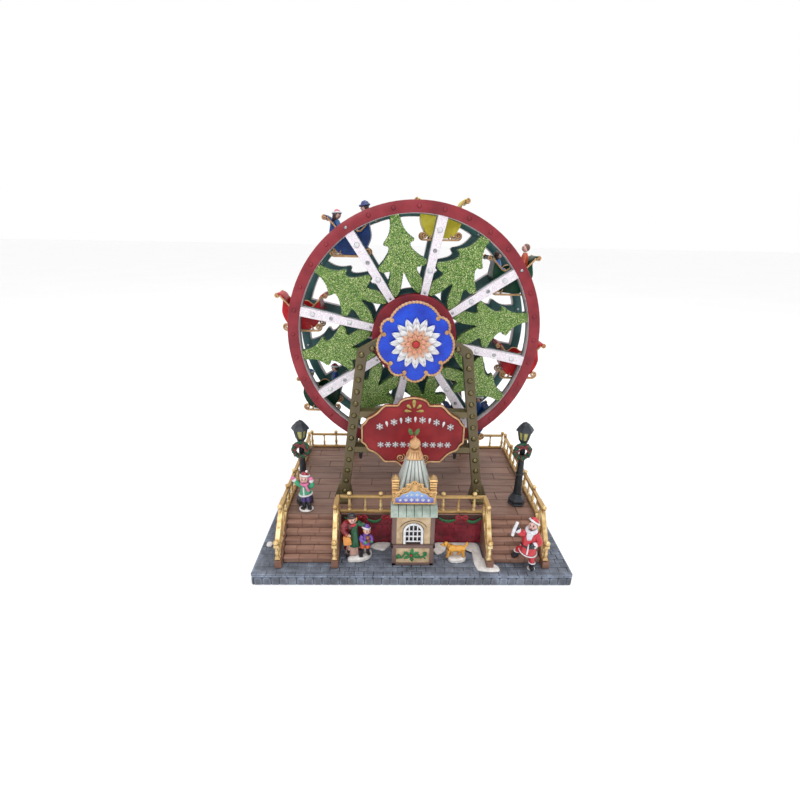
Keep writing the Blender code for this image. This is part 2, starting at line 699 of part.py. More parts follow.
def build_booth_top():
    """The booth's name board, corner towers, pleated spire and finial."""
    seat = ROOF_TOP + GAP
    crest = in_mm(CREST_HALF)
    outline = [(CREST_HALF_WIDTH, seat)] + mirrored(crest) + [(-CREST_HALF_WIDTH, seat)]
    board = prism(outline, back(CREST_FRONT), back(CREST_BACK))
    piece("booth_sign", mesh_of("booth_sign", board), "booth_blue")
    spire = lofted([spire_ring(share, 0, PLEAT_DEPTH) for share in (0, 1)])
    piece("booth_spire", mesh_of("booth_spire", spire), "spire_silver")
    corner, cap = (half * math.sqrt(2) for half in (TOWER_HALF, TOWER_CAP_HALF))
    shaft = TOWER_SHAFT_TOP - seat
    profile = [(corner, 0), (corner, shaft), (cap, shaft + GAP), (0, TOWER_TOP - seat)]
    for side, word in ((-1, "left"), (1, "right")):
        tower = turned(profile, 4, (side * TOWER_X, back(TOWER_Y), seat), turn_deg=45)
        clearing = lofted([spire_ring(share, GAP, 0) for share in (-0.1, 1)])
        piece(f"booth_tower_{word}", fused_mesh(f"booth_tower_{word}", [tower], [clearing]), "finial_gold")
    bell = []
    for half, rise in in_mm(BELL):
        outline = rounded_rectangle(half, half, BELL_CORNER, 2)
        bell.append([(x, back(SPIRE_Y) + y, SPIRE_TOP + GAP + rise) for x, y in outline])
    globe = []
    for degrees in (20, 50, 80, 110, 140, 160):
        turn = math.radians(degrees)
        globe.append((GLOBE_RADIUS * math.sin(turn), GLOBE_HEIGHT - GLOBE_RADIUS * math.cos(turn)))
    shapes = [lofted(bell), turned(globe + in_mm(TIP), 14, (0, back(SPIRE_Y), 0))]
    for side in (-1, 1):
        leaf = [(side * x, z) for x, z in in_mm(HOLLY_LEAF)]
        middle = back(SPIRE_Y) + side * GAP / 3
        shapes.append(prism(leaf, middle - 2 * GAP, middle + 2 * GAP))
    piece("booth_finial", fused_mesh("booth_finial", shapes), "finial_gold")


def frame_shapes(front, toe_reach):
    """Two straps that bend in towards a round hub plate, two crossbars and two flared feet."""
    foot = DECK_TOP + GAP
    half = LEG_WIDTH / 2
    deep = front + LEG_DEPTH
    reach = Vector((ARM_END_X - ELBOW_X, ARM_END_HEIGHT - ELBOW_HEIGHT)).normalized() * half
    shapes = [turned([(HUB_PLATE_RADIUS, 0), (HUB_PLATE_RADIUS, LEG_DEPTH - 0.2 * MM)], 24,
                     (0, front + 0.1 * MM, HUB_HEIGHT + 1.5 * MM), axis="Y")]
    for side in (-1, 1):
        leg = [
            (side * (FOOT_X + half), foot),
            (side * (ELBOW_X + half), ELBOW_HEIGHT + 1.6 * MM),
            (side * (ELBOW_X + half - 1.2 * MM), ELBOW_HEIGHT + 3 * MM),
            (side * (ARM_END_X - reach.y), ARM_END_HEIGHT + abs(reach.x)),
            (side * (ARM_END_X + reach.y), ARM_END_HEIGHT - abs(reach.x)),
            (side * (ELBOW_X - half), ELBOW_HEIGHT - 3 * MM),
            (side * (FOOT_X - half), foot),
        ]
        shapes.append(prism(leg, front, deep))
        flare = [
            (side * (FOOT_X + FLARE_HALF_WIDTH), foot),
            (side * (FOOT_X + FLARE_HALF_WIDTH), foot + FLARE_FOOT),
            (side * (FOOT_X + 3.4 * MM), foot + FLARE_TOP),
            (side * (FOOT_X - 7 * MM), foot + FLARE_TOP),
            (side * (FOOT_X - FLARE_HALF_WIDTH), foot + FLARE_FOOT),
            (side * (FOOT_X - FLARE_HALF_WIDTH), foot),
        ]
        shapes.append(prism(flare, front + 1.5 * MM, deep + 1.5 * MM))
        toe_span = (front - toe_reach, deep + HEEL_REACH)
        shapes.append(block(centred(side * FOOT_X, TOE_HALF_WIDTH), toe_span, (foot, foot + TOE_HEIGHT)))
    return shapes


def crossbars(front):
    """The two beams that brace the straps, seen from the front as flat bars."""
    shapes = []
    for low, high in (UPPER_BAR, LOWER_BAR):
        share = ((low + high) / 2 - DECK_TOP) / (ELBOW_HEIGHT - DECK_TOP)
        reach = FOOT_X + (ELBOW_X - FOOT_X) * share
        shapes.append(block((-reach, reach), (front + 0.2 * MM, front + CROSSBAR_DEPTH), (low, high)))
    return shapes


def build_frames():
    """The front frame, and the rear one turned to face the back."""
    front = back(FRAME_FRONT)
    shapes = frame_shapes(front, FRONT_TOE) + crossbars(front)
    piece("frame_front", fused_mesh("frame_front", shapes), "frame_bronze")
    rear = frame_shapes(front, REAR_TOE) + crossbars(front)
    flip = Matrix.Translation((0, 2 * back(WHEEL_MIDDLE), 0)) @ Matrix.Scale(-1, 4, (0, 1, 0))
    for shape in rear:
        bmesh.ops.transform(shape, matrix=flip, verts=shape.verts)
    piece("frame_rear", fused_mesh("frame_rear", rear), "frame_bronze")
    start = front + LEG_DEPTH + 0.2 * MM
    length = 2 * (back(WHEEL_MIDDLE) - start)
    axle = turned([(AXLE_RADIUS, 0), (AXLE_RADIUS, length)], 16, (0, start, HUB_HEIGHT), axis="Y")
    piece("axle", mesh_of("axle", axle), "axle_steel")


def build_sign():
    """The shaped name board in front of the crossbars."""
    crown_rise = SIGN_CROWN - SIGN_HALF[0][1]
    crown = []
    for degrees in (0, 22, 45, 67):
        turn = math.radians(degrees)
        crown.append((SIGN_HALF[0][0] * math.sin(turn), SIGN_HALF[0][1] + crown_rise * math.cos(turn)))
    half = crown + list(SIGN_HALF) + [(8.6, 94.2), (0, SIGN_TIP)]
    closed = in_mm(half + [(-x, z) for x, z in reversed(half) if x > 0])
    board = prism(closed, back(SIGN_FRONT), back(SIGN_BACK))
    piece("sign_board", mesh_of("sign_board", board), "sign_red")


def build_medallion():
    """The eight-lobed medallion with a low boss, in front of the hub."""
    outline = []
    for start, end, apex in MEDALLION_LOBES:
        first = (MEDALLION_NOTCH, math.radians(start))
        last = (MEDALLION_NOTCH, math.radians(end))
        outline += lobe(first, last, apex, 6 if end - start > 40 else 4)
    front = back(MEDALLION_FRONT)
    placed = [(x, z + MEDALLION_HEIGHT) for x, z in in_mm(outline)]
    plate = prism(placed, front, back(FRAME_FRONT) - GAP)
    boss_profile = in_mm(((20, 0), (19, 3), (13, 6.5), (6, 8.2), (0, 8.6)))
    boss = turned(boss_profile, 20)
    lay = Matrix.Translation((0, front + MM, MEDALLION_HEIGHT)) @ Matrix.Rotation(math.radians(90), 4, "X")
    bmesh.ops.transform(boss, matrix=lay, verts=boss.verts)
    piece("medallion", fused_mesh("medallion", [plate, boss]), "medallion_blue")


def wheel_shapes(front, inner, rim_outer):
    """One side of the wheel: rim, hub, tapered spokes, fir trees and the stub pins for gondolas."""
    span = inner - front
    sign = 1 if span > 0 else -1
    shapes = [
        ring(RIM_INNER, rim_outer, *sorted((front, inner)), RIM_SIDES),
        ring(HUB_BORE, HUB_RADIUS, *sorted((front - sign * 0.8 * MM, inner + sign * 0.2 * MM)), 24),
    ]
    spoke = in_mm(((4.9, 120.4), (-4.9, 120.4), (-3.8, 43), (3.8, 43)))
    tree = in_mm(mirrored(TREE_HALF))
    spoke_span = sorted((front + sign * MM, inner - sign * 0.2 * MM))
    tree_span = sorted((front + sign * 2.2 * MM, inner - sign * 0.5 * MM))
    for i in range(ARM_COUNT):
        turn = FIRST_ARM_DEG + 360 / ARM_COUNT * i
        shapes.append(turned_in_plane(prism(spoke, *spoke_span), turn - 90))
        shapes.append(turned_in_plane(prism(tree, *tree_span), turn - 90 + 180 / ARM_COUNT))
        angle = math.radians(turn)
        at = (PIN_CIRCLE * math.cos(angle), PIN_CIRCLE * math.sin(angle))
        pin = arc(at, PIN_RADIUS, 0, 360, 6)[:-1]
        shapes.append(prism(pin, *sorted((inner - sign * 3 * MM, inner + sign * PIN_REACH))))
    return shapes


def build_wheel():
    """Both sides of the wheel and the drum between them, with their origin on the axle."""
    centre = (0, back(WHEEL_MIDDLE), HUB_HEIGHT)
    half_gap = WHEEL_MIDDLE - WHEEL_FRONT - WHEEL_THICK
    outer = half_gap + WHEEL_THICK
    for name, sign, rim_outer in (("front_wheel", -1, RIM_OUTER), ("rear_wheel", 1, REAR_RIM_OUTER)):
        mesh = fused_mesh(name, wheel_shapes(sign * outer, sign * half_gap, rim_outer))
        piece(name, mesh, "wheel_red", centre)
    reach = half_gap - 0.2 * MM - GAP
    drum = ring(HUB_BORE, DRUM_RADIUS, -reach, reach, 24)
    piece("hub_drum", mesh_of("hub_drum", drum), "wheel_red", centre)


def ribbon(half_curve, thickness):
    """A closed outline of even thickness along a curve that is mirrored about its first point."""
    points = [Vector(p) for p in in_mm([(-a, b) for a, b in reversed(half_curve[1:])] + list(half_curve))]
    sides = ([], [])
    for i, point in enumerate(points):
        along = points[min(i + 1, len(points) - 1)] - points[max(i - 1, 0)]
        normal = Vector((-along.y, along.x)).normalized() * thickness / 2
        sides[0].append(tuple(point + normal))
        sides[1].append(tuple(point - normal))
    return sides[0] + sides[1][::-1]


def gondola_mesh():
    """A double-ended sleigh tub hung from its raised sides, on two scrolled runners."""
    shapes = [prism(ribbon(TUB_CURVE, TUB_WALL), -TUB_HALF_DEPTH, TUB_HALF_DEPTH)]
    cheek_half = list(reversed(TUB_RAIL_EDGE)) + list(reversed(TUB_CURVE[:-2]))
    cheek = in_mm(cheek_half + [(-a, b) for a, b in reversed(cheek_half) if a > 0])
    holes = []
    for side in (-1, 1):
        inner, outer = side * (TUB_HALF_DEPTH - TUB_WALL), side * (TUB_HALF_DEPTH - 0.1 * MM)
        shapes.append(prism(cheek, *sorted((inner, outer))))
        hole = arc((0, 0), PIN_RADIUS + GAP, 0, 360, 6)[:-1]
        holes.append(prism(hole, *sorted((inner - side * MM, outer + side * MM))))
        near, far = sorted((side * RUNNER_INNER, side * (RUNNER_INNER + RUNNER_DEPTH)))
        half_runner = arc((SCROLL_X, RUNNER_BOTTOM + SCROLL_RADIUS), SCROLL_RADIUS, -90, 210, 6)
        runner = half_runner[:-1] + [(SCROLL_X - SCROLL_RADIUS, RUNNER_TOP)]
        shapes.append(prism(runner + [(-a, b) for a, b in reversed(runner)], near, far))
        for end in (-1, 1):
            foot = in_mm(((6.4 * end, -17.5), (8.4 * end, -17.5), (12 * end, -23.6), (10 * end, -23.6)))
            shapes.append(prism(foot, near + 0.3 * MM, far - 0.3 * MM))
    return fused_mesh("gondola", shapes, holes)


def riders_mesh():
    """Two passengers who face each other, joined by the bench and the blanket over their knees."""
    shapes = [
        block((-8.6 * MM, 8.6 * MM), (-9 * MM, 9 * MM), (-20.1 * MM, -11 * MM)),
        block((-15 * MM, 15 * MM), (-8 * MM, 8 * MM), (-13.4 * MM, -9.6 * MM)),
    ]
    for x, lift in ((-14, 0), (14.2, 7)):
        body = in_mm(((2.6, -10.4), (3.8, -4), (3.9, 6 + lift), (2.0, 12.6 + lift)))
        shapes.append(turned(body, 6, (x * MM, 0, 0)))
        shapes.append(ball((x * MM, 0, (15.6 + lift) * MM), 3.8 * MM))
        hat = in_mm(((4.2, 16.8 + lift), (3.6, 19 + lift), (0, 21.2 + lift)))
        shapes.append(turned(hat, 6, (x * MM, 0, 0), turn_deg=11))
        lean = 1 if x < 0 else -1
        for side in (-1, 1):
            shoulder = (x * MM, side * 3.2 * MM, (7 + lift) * MM)
            hand = ((x + 7 * lean) * MM, side * 4 * MM, -2 * MM)
            shapes.append(limb(shoulder, hand, 1.5 * MM, 5))
    return fused_mesh("riders", shapes)


def build_gondolas():
    """Eight gondolas, each with its origin on its pins, and the passengers of four of them."""
    finishes = ("gondola_green", "gondola_yellow", "gondola_blue", "gondola_red")
    tub, riders = gondola_mesh(), riders_mesh()
    for i in range(ARM_COUNT):
        angle = math.radians(FIRST_ARM_DEG + 360 / ARM_COUNT * i)
        at = (PIN_CIRCLE * math.cos(angle), back(WHEEL_MIDDLE), HUB_HEIGHT + PIN_CIRCLE * math.sin(angle))
        piece(f"gondola_{i + 1}", tub.copy(), finishes[i % 4], at)
        if i in RIDER_GONDOLAS:
            piece(f"riders_{i + 1}", riders.copy(), "figure_paint", at)


def snow_patch(x, depth, size_x, size_y, foot, thick=2.2 * MM):
    """The low oval of snow that a figure stands on."""
    shape = turned([(1, 0), (1, 0.45), (0.72, 1)], 10)
    size = Matrix.Diagonal((size_x, size_y, thick, 1))
    bmesh.ops.transform(shape, matrix=Matrix.Translation((x, back(depth), foot)) @ size, verts=shape.verts)
    return shape


def person(x, depth, foot, height, girth, arms, feet=(0, 0)):
    """A standing figure: boots, coat, head, hat and two arms that end at the given points. A foot is
    either 0, below the hip, or a point of its own."""

    def at(dx, dy, part):
        return (x + dx, back(depth) + dy, foot + part * height)

    hip = girth * 0.42
    coat = [(share * girth, rise * height) for share, rise in COAT]
    shapes = [turned(coat, 8, at(0, 0, HEM))]
    for side, own in zip((-1, 1), feet):
        shapes.append(limb(at(*(own or (side * hip, 0, 0))), at(side * hip, 0, HEM + 0.04), girth * 0.4, 5))
    head = 0.088 * height
    shapes.append(ball(at(0, 0, 0.855), head))
    cap = [(head * 1.1, 0), (head * 0.9, head * 0.9), (0, head * 1.45)]
    shapes.append(turned(cap, 6, at(0, 0, 0.875), turn_deg=11))
    for side, hand in zip((-1, 1), arms):
        shapes.append(limb(at(side * girth * 0.55, 0, 0.72), at(*hand), girth * 0.32, 5))
    return shapes


def build_figures():
    """The child on the deck, the woman with a child, the dog and the man on the right flight."""
    on_deck, on_base = DECK_TOP + GAP, BASE_HEIGHT + GAP
    x, depth = CHILD_AT
    waving = ((-10.9 * MM, -1 * MM, 0.83), (8.1 * MM, -1 * MM, 0.8))
    child = [snow_patch(x, depth, 8.2 * MM, 5.6 * MM, on_deck)]
    child += person(x, depth, on_deck + SINK, 45 * MM, 6.2 * MM, waving)
    piece("figure_child", fused_mesh("figure_child", child), "figure_paint")

    x, depth = WOMAN_AT
    group = [snow_patch(x + 7 * MM, depth, 12 * MM, 8.4 * MM, on_base)]
    woman_arms = ((-3.5 * MM, -5 * MM, 0.47), (9 * MM, MM, 0.66))
    group += person(x, depth, on_base + SINK, 52 * MM, 8 * MM, woman_arms)
    small_arms = ((-1 * MM, -5 * MM, 0.5), (5.6 * MM, -4 * MM, 0.52))
    group += person(x + 14.2 * MM, depth, on_base + SINK, 40 * MM, 5.6 * MM, small_arms)
    piece("figure_woman_and_child", fused_mesh("figure_woman_and_child", group), "figure_paint")

    x, depth = MAN_AT
    man_arms = ((-16.8 * MM, -2 * MM, 0.85), (-2.6 * MM, -6.4 * MM, 0.55))
    stepping = (-10.2 * MM, 10.4 * MM, 0.16)
    man = [snow_patch(x + 2.6 * MM, depth - MM, 6.4 * MM, 4.6 * MM, on_base, 1.6 * MM)]
    man += person(x, depth, on_base + 2 * GAP, 58 * MM, 7.4 * MM, man_arms, (stepping, 0))
    tread = BASE_HEIGHT + (DECK_TOP - BASE_HEIGHT) / (STEP_COUNT + 1) + GAP
    boot = (x - 13.6 * MM, x - 7.4 * MM), (back(depth) + 8.2 * MM, back(depth) + 12.8 * MM)
    man.append(block(*boot, (tread, tread + 3 * MM)))
    piece("figure_man", fused_mesh("figure_man", man), "figure_paint")
    piece("figure_dog", fused_mesh("figure_dog", dog_shapes(on_base)), "figure_paint")


def dog_shapes(foot):
    """A dog in profile that looks to the left, on its patch of snow."""
    x, depth = DOG_AT

    def at(dx, dy, up):
        return (x + dx * MM, back(depth) + dy * MM, foot + up * MM)

    shapes = [snow_patch(x, depth, 10 * MM, 7 * MM, foot, 3.4 * MM)]
    shapes.append(limb(at(-8, 0, 12.6), at(7.8, 0, 12.4), 3.3 * MM, 8))
    shapes.append(limb(at(-7, 0, 13), at(-10.6, 0, 17.2), 2.2 * MM))
    shapes.append(ball(at(-10.8, 0, 18.3), 3.1 * MM))
    shapes.append(limb(at(-11.3, 0, 17.7), at(-15.2, 0, 17), 1.5 * MM))
    shapes.append(limb(at(7, 0, 13.6), at(11.4, 0, 20.4), 1.2 * MM))
    for dx, dy in ((-9, -1.9), (-5, 1.9), (8, -1.9), (5, 1.9)):
        shapes.append(limb(at(dx, dy, 1.6), at(dx * 0.9, dy, 11.4), 1.25 * MM, 4))
    return shapes


def build():
    """Clear the scene and make every piece."""
    for old in list(bpy.data.objects):
        bpy.data.objects.remove(old)
    build_base()
    build_deck()
    build_stairs()
    build_straight_rails()
    build_stair_rails()
    build_lamps()
    build_booth_body()
    build_booth_top()
    build_frames()
    build_sign()
    build_medallion()
    build_wheel()
    build_gondolas()
    build_figures()


build()
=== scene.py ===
import math

import bpy
import numpy as np
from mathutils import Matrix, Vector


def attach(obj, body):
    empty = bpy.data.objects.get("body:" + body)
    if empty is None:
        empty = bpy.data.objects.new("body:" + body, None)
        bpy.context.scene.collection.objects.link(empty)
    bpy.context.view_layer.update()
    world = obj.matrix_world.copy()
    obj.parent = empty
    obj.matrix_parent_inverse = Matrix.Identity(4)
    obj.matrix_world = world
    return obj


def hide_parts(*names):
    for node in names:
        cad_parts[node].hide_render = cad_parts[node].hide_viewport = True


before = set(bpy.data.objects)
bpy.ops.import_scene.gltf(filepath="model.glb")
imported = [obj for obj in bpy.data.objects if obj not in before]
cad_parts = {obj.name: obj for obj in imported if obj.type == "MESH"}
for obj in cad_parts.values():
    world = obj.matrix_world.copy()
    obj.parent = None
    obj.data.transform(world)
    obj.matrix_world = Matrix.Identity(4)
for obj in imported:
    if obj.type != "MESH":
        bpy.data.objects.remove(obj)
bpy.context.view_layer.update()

# Stone base
# One cast block under the whole model, moulded as rows of setts on top and as arched blocks round its edge.
# It is painted slate grey, with a dark wash in the joints and pale blue dry-brushed over the raised stones.
# All sizes here are in millimetres: across, depth behind the front edge of the base, and height.
BASE = {"half": 160.0, "deep": 210.0, "high": 12.0, "corner": 3.0, "lip": 0.45}
ON_BASE = 12.3
SETT = (9.6, 6.2)
PAINTED = 0.8


def skin(points, around=False, along=False, tint=None, sheet=False):
    """A grid of points made a surface: each cell is one face, and a cell that ends in a pole is a triangle.
    around joins the last column to the first and along the last row; a sheet keeps the side it is made on."""
    rows, columns = points.shape[:2]
    number = np.arange(rows * columns).reshape(rows, columns)
    if along:
        number = np.vstack((number, number[:1]))
    if around:
        number = np.hstack((number, number[:, :1]))
    cells = np.stack((number[:-1, :-1], number[:-1, 1:], number[1:, 1:], number[1:, :-1]), -1).reshape(-1, 4)
    flat = np.asarray(points, float).reshape(-1, 3)
    _, first, same = np.unique(np.round(flat, 4), axis=0, return_index=True, return_inverse=True)
    cells = same.reshape(-1)[cells]
    keep = cells != np.roll(cells, 1, axis=1)
    whole = keep.sum(1) > 2
    tint = None if tint is None else np.broadcast_to(tint, points.shape).reshape(-1, 3)[first]
    return {"at": flat[first], "corners": cells[whole][keep[whole]], "sizes": keep.sum(1)[whole], "tint": tint,
            "sheet": sheet}


def outward(shape):
    """Turns a closed shape's faces over where its volume, the sum of signed corner tetrahedra, is negative."""
    sizes, corners = shape["sizes"], shape["corners"]
    start = np.repeat(np.cumsum(sizes) - sizes, sizes)
    size = np.repeat(sizes, sizes)
    step = np.arange(len(corners)) - start
    after = corners[start + (step + 1) % size]
    at = shape["at"]
    volume = np.einsum("ij,ij->i", at[corners[start]], np.cross(at[corners], at[after])).sum()
    return corners if shape["sheet"] or volume > 0 else corners[start + size - 1 - step]


def piece(name, shapes, finish, body, nodes=(), bevel=0.0, sharp=40):
    """Joins shapes into one piece, in metres about the middle of the base, and sets it on its body."""
    mesh = bpy.data.meshes.new(name)
    counts = np.array([len(s["at"]) for s in shapes])
    points = (np.concatenate([s["at"] for s in shapes]) - (0, BASE["deep"] / 2, 0)) / 1000
    corners = np.concatenate([outward(s) + n for s, n in zip(shapes, np.cumsum(counts) - counts)])
    sizes = np.concatenate([s["sizes"] for s in shapes])
    mesh.vertices.add(len(points))
    mesh.vertices.foreach_set("co", points.astype(np.float32).ravel())
    mesh.loops.add(len(corners))
    mesh.loops.foreach_set("vertex_index", corners.astype(np.int32))
    mesh.polygons.add(len(sizes))
    mesh.polygons.foreach_set("loop_start", (np.cumsum(sizes) - sizes).astype(np.int32))
    mesh.update(calc_edges=True)
    mesh.validate()
    if any(s["tint"] is not None for s in shapes):
        tints = [np.ones((n, 3)) if s["tint"] is None else s["tint"] for s, n in zip(shapes, counts)]
        layer = mesh.attributes.new("tint", "FLOAT_COLOR", "POINT")
        layer.data.foreach_set("color", np.hstack((np.concatenate(tints), np.ones((len(points), 1)))).ravel())
    mesh.shade_smooth()
    made = bpy.data.objects.new(name, mesh)
    bpy.context.scene.collection.objects.link(made)
    if bevel:
        rounding = made.modifiers.new("rounded edges", "BEVEL")
        rounding.width, rounding.segments, rounding.limit_method = bevel / 1000, 2, "ANGLE"
        rounding.angle_limit, rounding.harden_normals = math.radians(32), True
    else:
        mesh.set_sharp_from_angle(angle=math.radians(sharp))
    mesh.materials.append(finish)
    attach(made, body)
    if nodes:
        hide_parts(*nodes)


def shade(red, green, blue):
    """A colour given as 0 to 255 on a screen, in the linear values that a shader takes."""
    screen = np.array((red, green, blue)) / 255
    return np.where(screen < 0.04045, screen / 12.92, ((screen + 0.055) / 1.055) ** 2.4)


def node(finish, kind, inputs=(), **settings):
    """Adds one shader node; each input is a number, a colour or another node's output."""
    made = finish.node_tree.nodes.new("ShaderNode" + kind)
    for key, value in settings.items():
        setattr(made, key, value)
    for key, value in dict(inputs).items():
        if isinstance(value, bpy.types.NodeSocket):
            finish.node_tree.links.new(value, made.inputs[key])
        else:
            made.inputs[key].default_value = value
    return made


def blended(finish, share, low, high, how="MIX"):
    """Mixes two colours by a share; a colour is a socket or three numbers."""
    ends = [c if isinstance(c, bpy.types.NodeSocket) else (*c, 1) for c in (low, high)]
    return node(finish, "Mix", {0: share, 6: ends[0], 7: ends[1]}, data_type="RGBA", blend_type=how).outputs[2]


def ranged(finish, value, low, high, to_low=0.0, to_high=1.0):
    """Maps a value from one range to another, held at its ends."""
    return node(finish, "MapRange", {0: value, 1: low, 2: high, 3: to_low, 4: to_high}).outputs[0]


def noise(finish, size, stretch=(1, 1, 1), detail=3.0):
    """Cloudy noise on the piece's own coordinates, of a size in millimetres, drawn out by stretch."""
    place = node(finish, "TexCoord").outputs["Object"]
    scale = tuple(1000 / size / s for s in stretch)
    place = node(finish, "Mapping", {0: place, "Scale": scale}).outputs[0]
    settings = {"Vector": place, "Scale": 1.0, "Detail": detail, "Roughness": 0.55}
    return node(finish, "TexNoise", settings).outputs[0]


def painted(name, low, middle, high, size=8.0, stretch=(1, 1, 1), rough=(0.45, 0.65), metal=0.0, grain=0.6,
            bump=0.04, wash_and_shade=None, wash_and_shade_reach=1.6, rub_and_highlight=None, tinted=False, coat=0.0, specular=0.5):
    """Paint on a casting: a cloudy noise drifts the colour from low through middle to high and the gloss
    with it. Where neighbouring faces are close a darker tone lies, both a paint wash and painted shade in the
    hollows; the sharpest edges take a lighter tone, both rubbed wear and painted highlight; fine grain is in
    relief. Colours are 0 to 255 as on a screen; the coat throws back the PAINTED share of them, and all of the
    wash-and-shade and rub-and-highlight colours."""
    finish = bpy.data.materials.new(name)
    finish.use_nodes = True
    shader = finish.node_tree.nodes["Principled BSDF"]
    for socket, value in (("Metallic", metal), ("Coat Weight", coat), ("Coat Roughness", 0.15),
                          ("Specular IOR Level", specular)):
        shader.inputs[socket].default_value = value
    cloud = noise(finish, size, stretch)
    low, middle, high = (PAINTED * shade(*c) for c in (low, middle, high))
    colour = blended(finish, ranged(finish, cloud, 0.32, 0.5), low, middle)
    colour = blended(finish, ranged(finish, cloud, 0.5, 0.68), colour, high)
    fine = noise(finish, grain, stretch, 2.0)
    if tinted:
        tint = node(finish, "Attribute", attribute_name="tint").outputs["Color"]
        colour = blended(finish, 1.0, colour, tint, "MULTIPLY")
    if wash_and_shade is not None:
        # Ambient occlusion darkens the hollows: a paint wash and painted shade together.
        hollow = node(finish, "AmbientOcclusion", {"Distance": wash_and_shade_reach / 1000}, samples=8).outputs["AO"]
        colour = blended(finish, ranged(finish, hollow, 0.35, 0.95, 0.85, 0.0), colour, shade(*wash_and_shade))
    if rub_and_highlight is not None:
        # Pointiness lightens the sharpest edges: rubbed wear and painted highlight together.
        edge = node(finish, "NewGeometry").outputs["Pointiness"]
        colour = blended(finish, ranged(finish, edge, 0.52, 0.62, 0.0, 0.8), colour, shade(*rub_and_highlight))
    colour = blended(finish, 0.16, colour, node(finish, "CombineColor", {i: fine for i in range(3)}).outputs[0],
                     "OVERLAY")
    links = finish.node_tree.links
    links.new(colour, shader.inputs["Base Color"])
    links.new(ranged(finish, noise(finish, size / 3, stretch), 0.3, 0.7, *rough), shader.inputs["Roughness"])
    relief = node(finish, "Bump", {"Strength": 0.6, "Distance": bump / 1000, "Height": fine})
    links.new(relief.outputs[0], shader.inputs["Normal"])
    return finish


def fade(value, low, high):
    """Rises smoothly from 0 at low to 1 at high."""
    share = np.clip((value - low) / (high - low), 0, 1)
    return share * share * (3 - 2 * share)


def random_mark(*numbers):
    """A number from 0 to 1 that looks random and is the same for the same whole numbers."""
    mark = sum(n * k for n, k in zip(numbers, (12.9898, 78.233, 37.719)))
    return np.modf(np.abs(np.sin(mark) * 43758.5453))[0]


def courses(across, along, wide, tall):
    """Courses of blocks, every other one half a block over: the way to the next joint, and the block's mark."""
    course = np.floor(along / tall)
    run = across / wide + 0.5 * (course % 2) + 0.3 * random_mark(course, 3)
    block = np.floor(run)
    share = run - block
    level = along / tall - course
    edge = np.minimum(np.minimum(share, 1 - share) * wide, np.minimum(level, 1 - level) * tall)
    return edge, random_mark(block, course)


def stone_tint(edge, mark, brush):
    """Dark in the joint, dry-brushed pale inside it by brush from 0 to 1, and each stone a little its own."""
    tint = np.ones(edge.shape + (3,)) * (0.8 + 0.4 * mark)[..., None]
    rubbed = fade(edge, 0.35, 0.8) * (1 - fade(edge, 0.9, 2.0)) * brush
    tint = tint + rubbed[..., None] * np.array((0.9, 1.0, 1.14))
    return tint * (0.24 + 0.76 * fade(edge, 0.1, 0.6))[..., None]


def uneven(across, along, size):
    """Gentle unevenness from -1 to 1: a sum of four sine waves in different directions."""
    a, b = across / size, along / size
    return (np.sin(a * 1.7 + 0.8 * b) + np.sin(b * 2.1 - a) + np.sin(2.9 * a + 1.1) * np.sin(2.3 * b)
            + np.sin(3.7 * (a + b))) / 4


def base_top():
    """The setts: a grid over the base whose corners are drawn in round; joints sink and each stone domes."""
    x, y = np.meshgrid(np.linspace(-BASE["half"], BASE["half"], 337), np.linspace(0, BASE["deep"], 223))
    edge, mark = courses(x, y, *SETT)
    worn = fade(uneven(x, y + 40, 34), -0.5, 0.25) * fade(np.abs(x), 4, 30)
    height = BASE["high"] - 0.15 - (0.75 - 0.35 * worn) * (1 - fade(edge, 0.1, 0.8)) + 0.2 * (mark - 0.5)
    height += 0.12 * uneven(x, y, 3.1)
    corner = BASE["corner"]
    over_x = np.maximum(np.abs(x) - BASE["half"] + corner, 0)
    over_y = np.maximum(np.abs(y - BASE["deep"] / 2) - BASE["deep"] / 2 + corner, 0)
    reach = np.hypot(over_x, over_y)
    draw = np.where(reach > corner, 1 - corner / np.maximum(reach, corner), 0)
    x = x - np.sign(x) * over_x * draw
    y = y - np.sign(y - BASE["deep"] / 2) * over_y * draw
    rim = np.minimum(BASE["half"] - np.abs(x), np.minimum(y, BASE["deep"] - y))
    height = np.where(rim < 0.8, BASE["high"] - BASE["lip"], height)
    brush = (0.25 + 0.75 * fade(uneven(x, y, 9), -0.3, 0.6)) * (1 - 0.55 * worn)
    brush = np.where(rim < 1.4, 1.0, brush)
    return skin(np.stack((x, y, height), -1), tint=stone_tint(edge + 0.25 * worn, mark, brush), sheet=True)


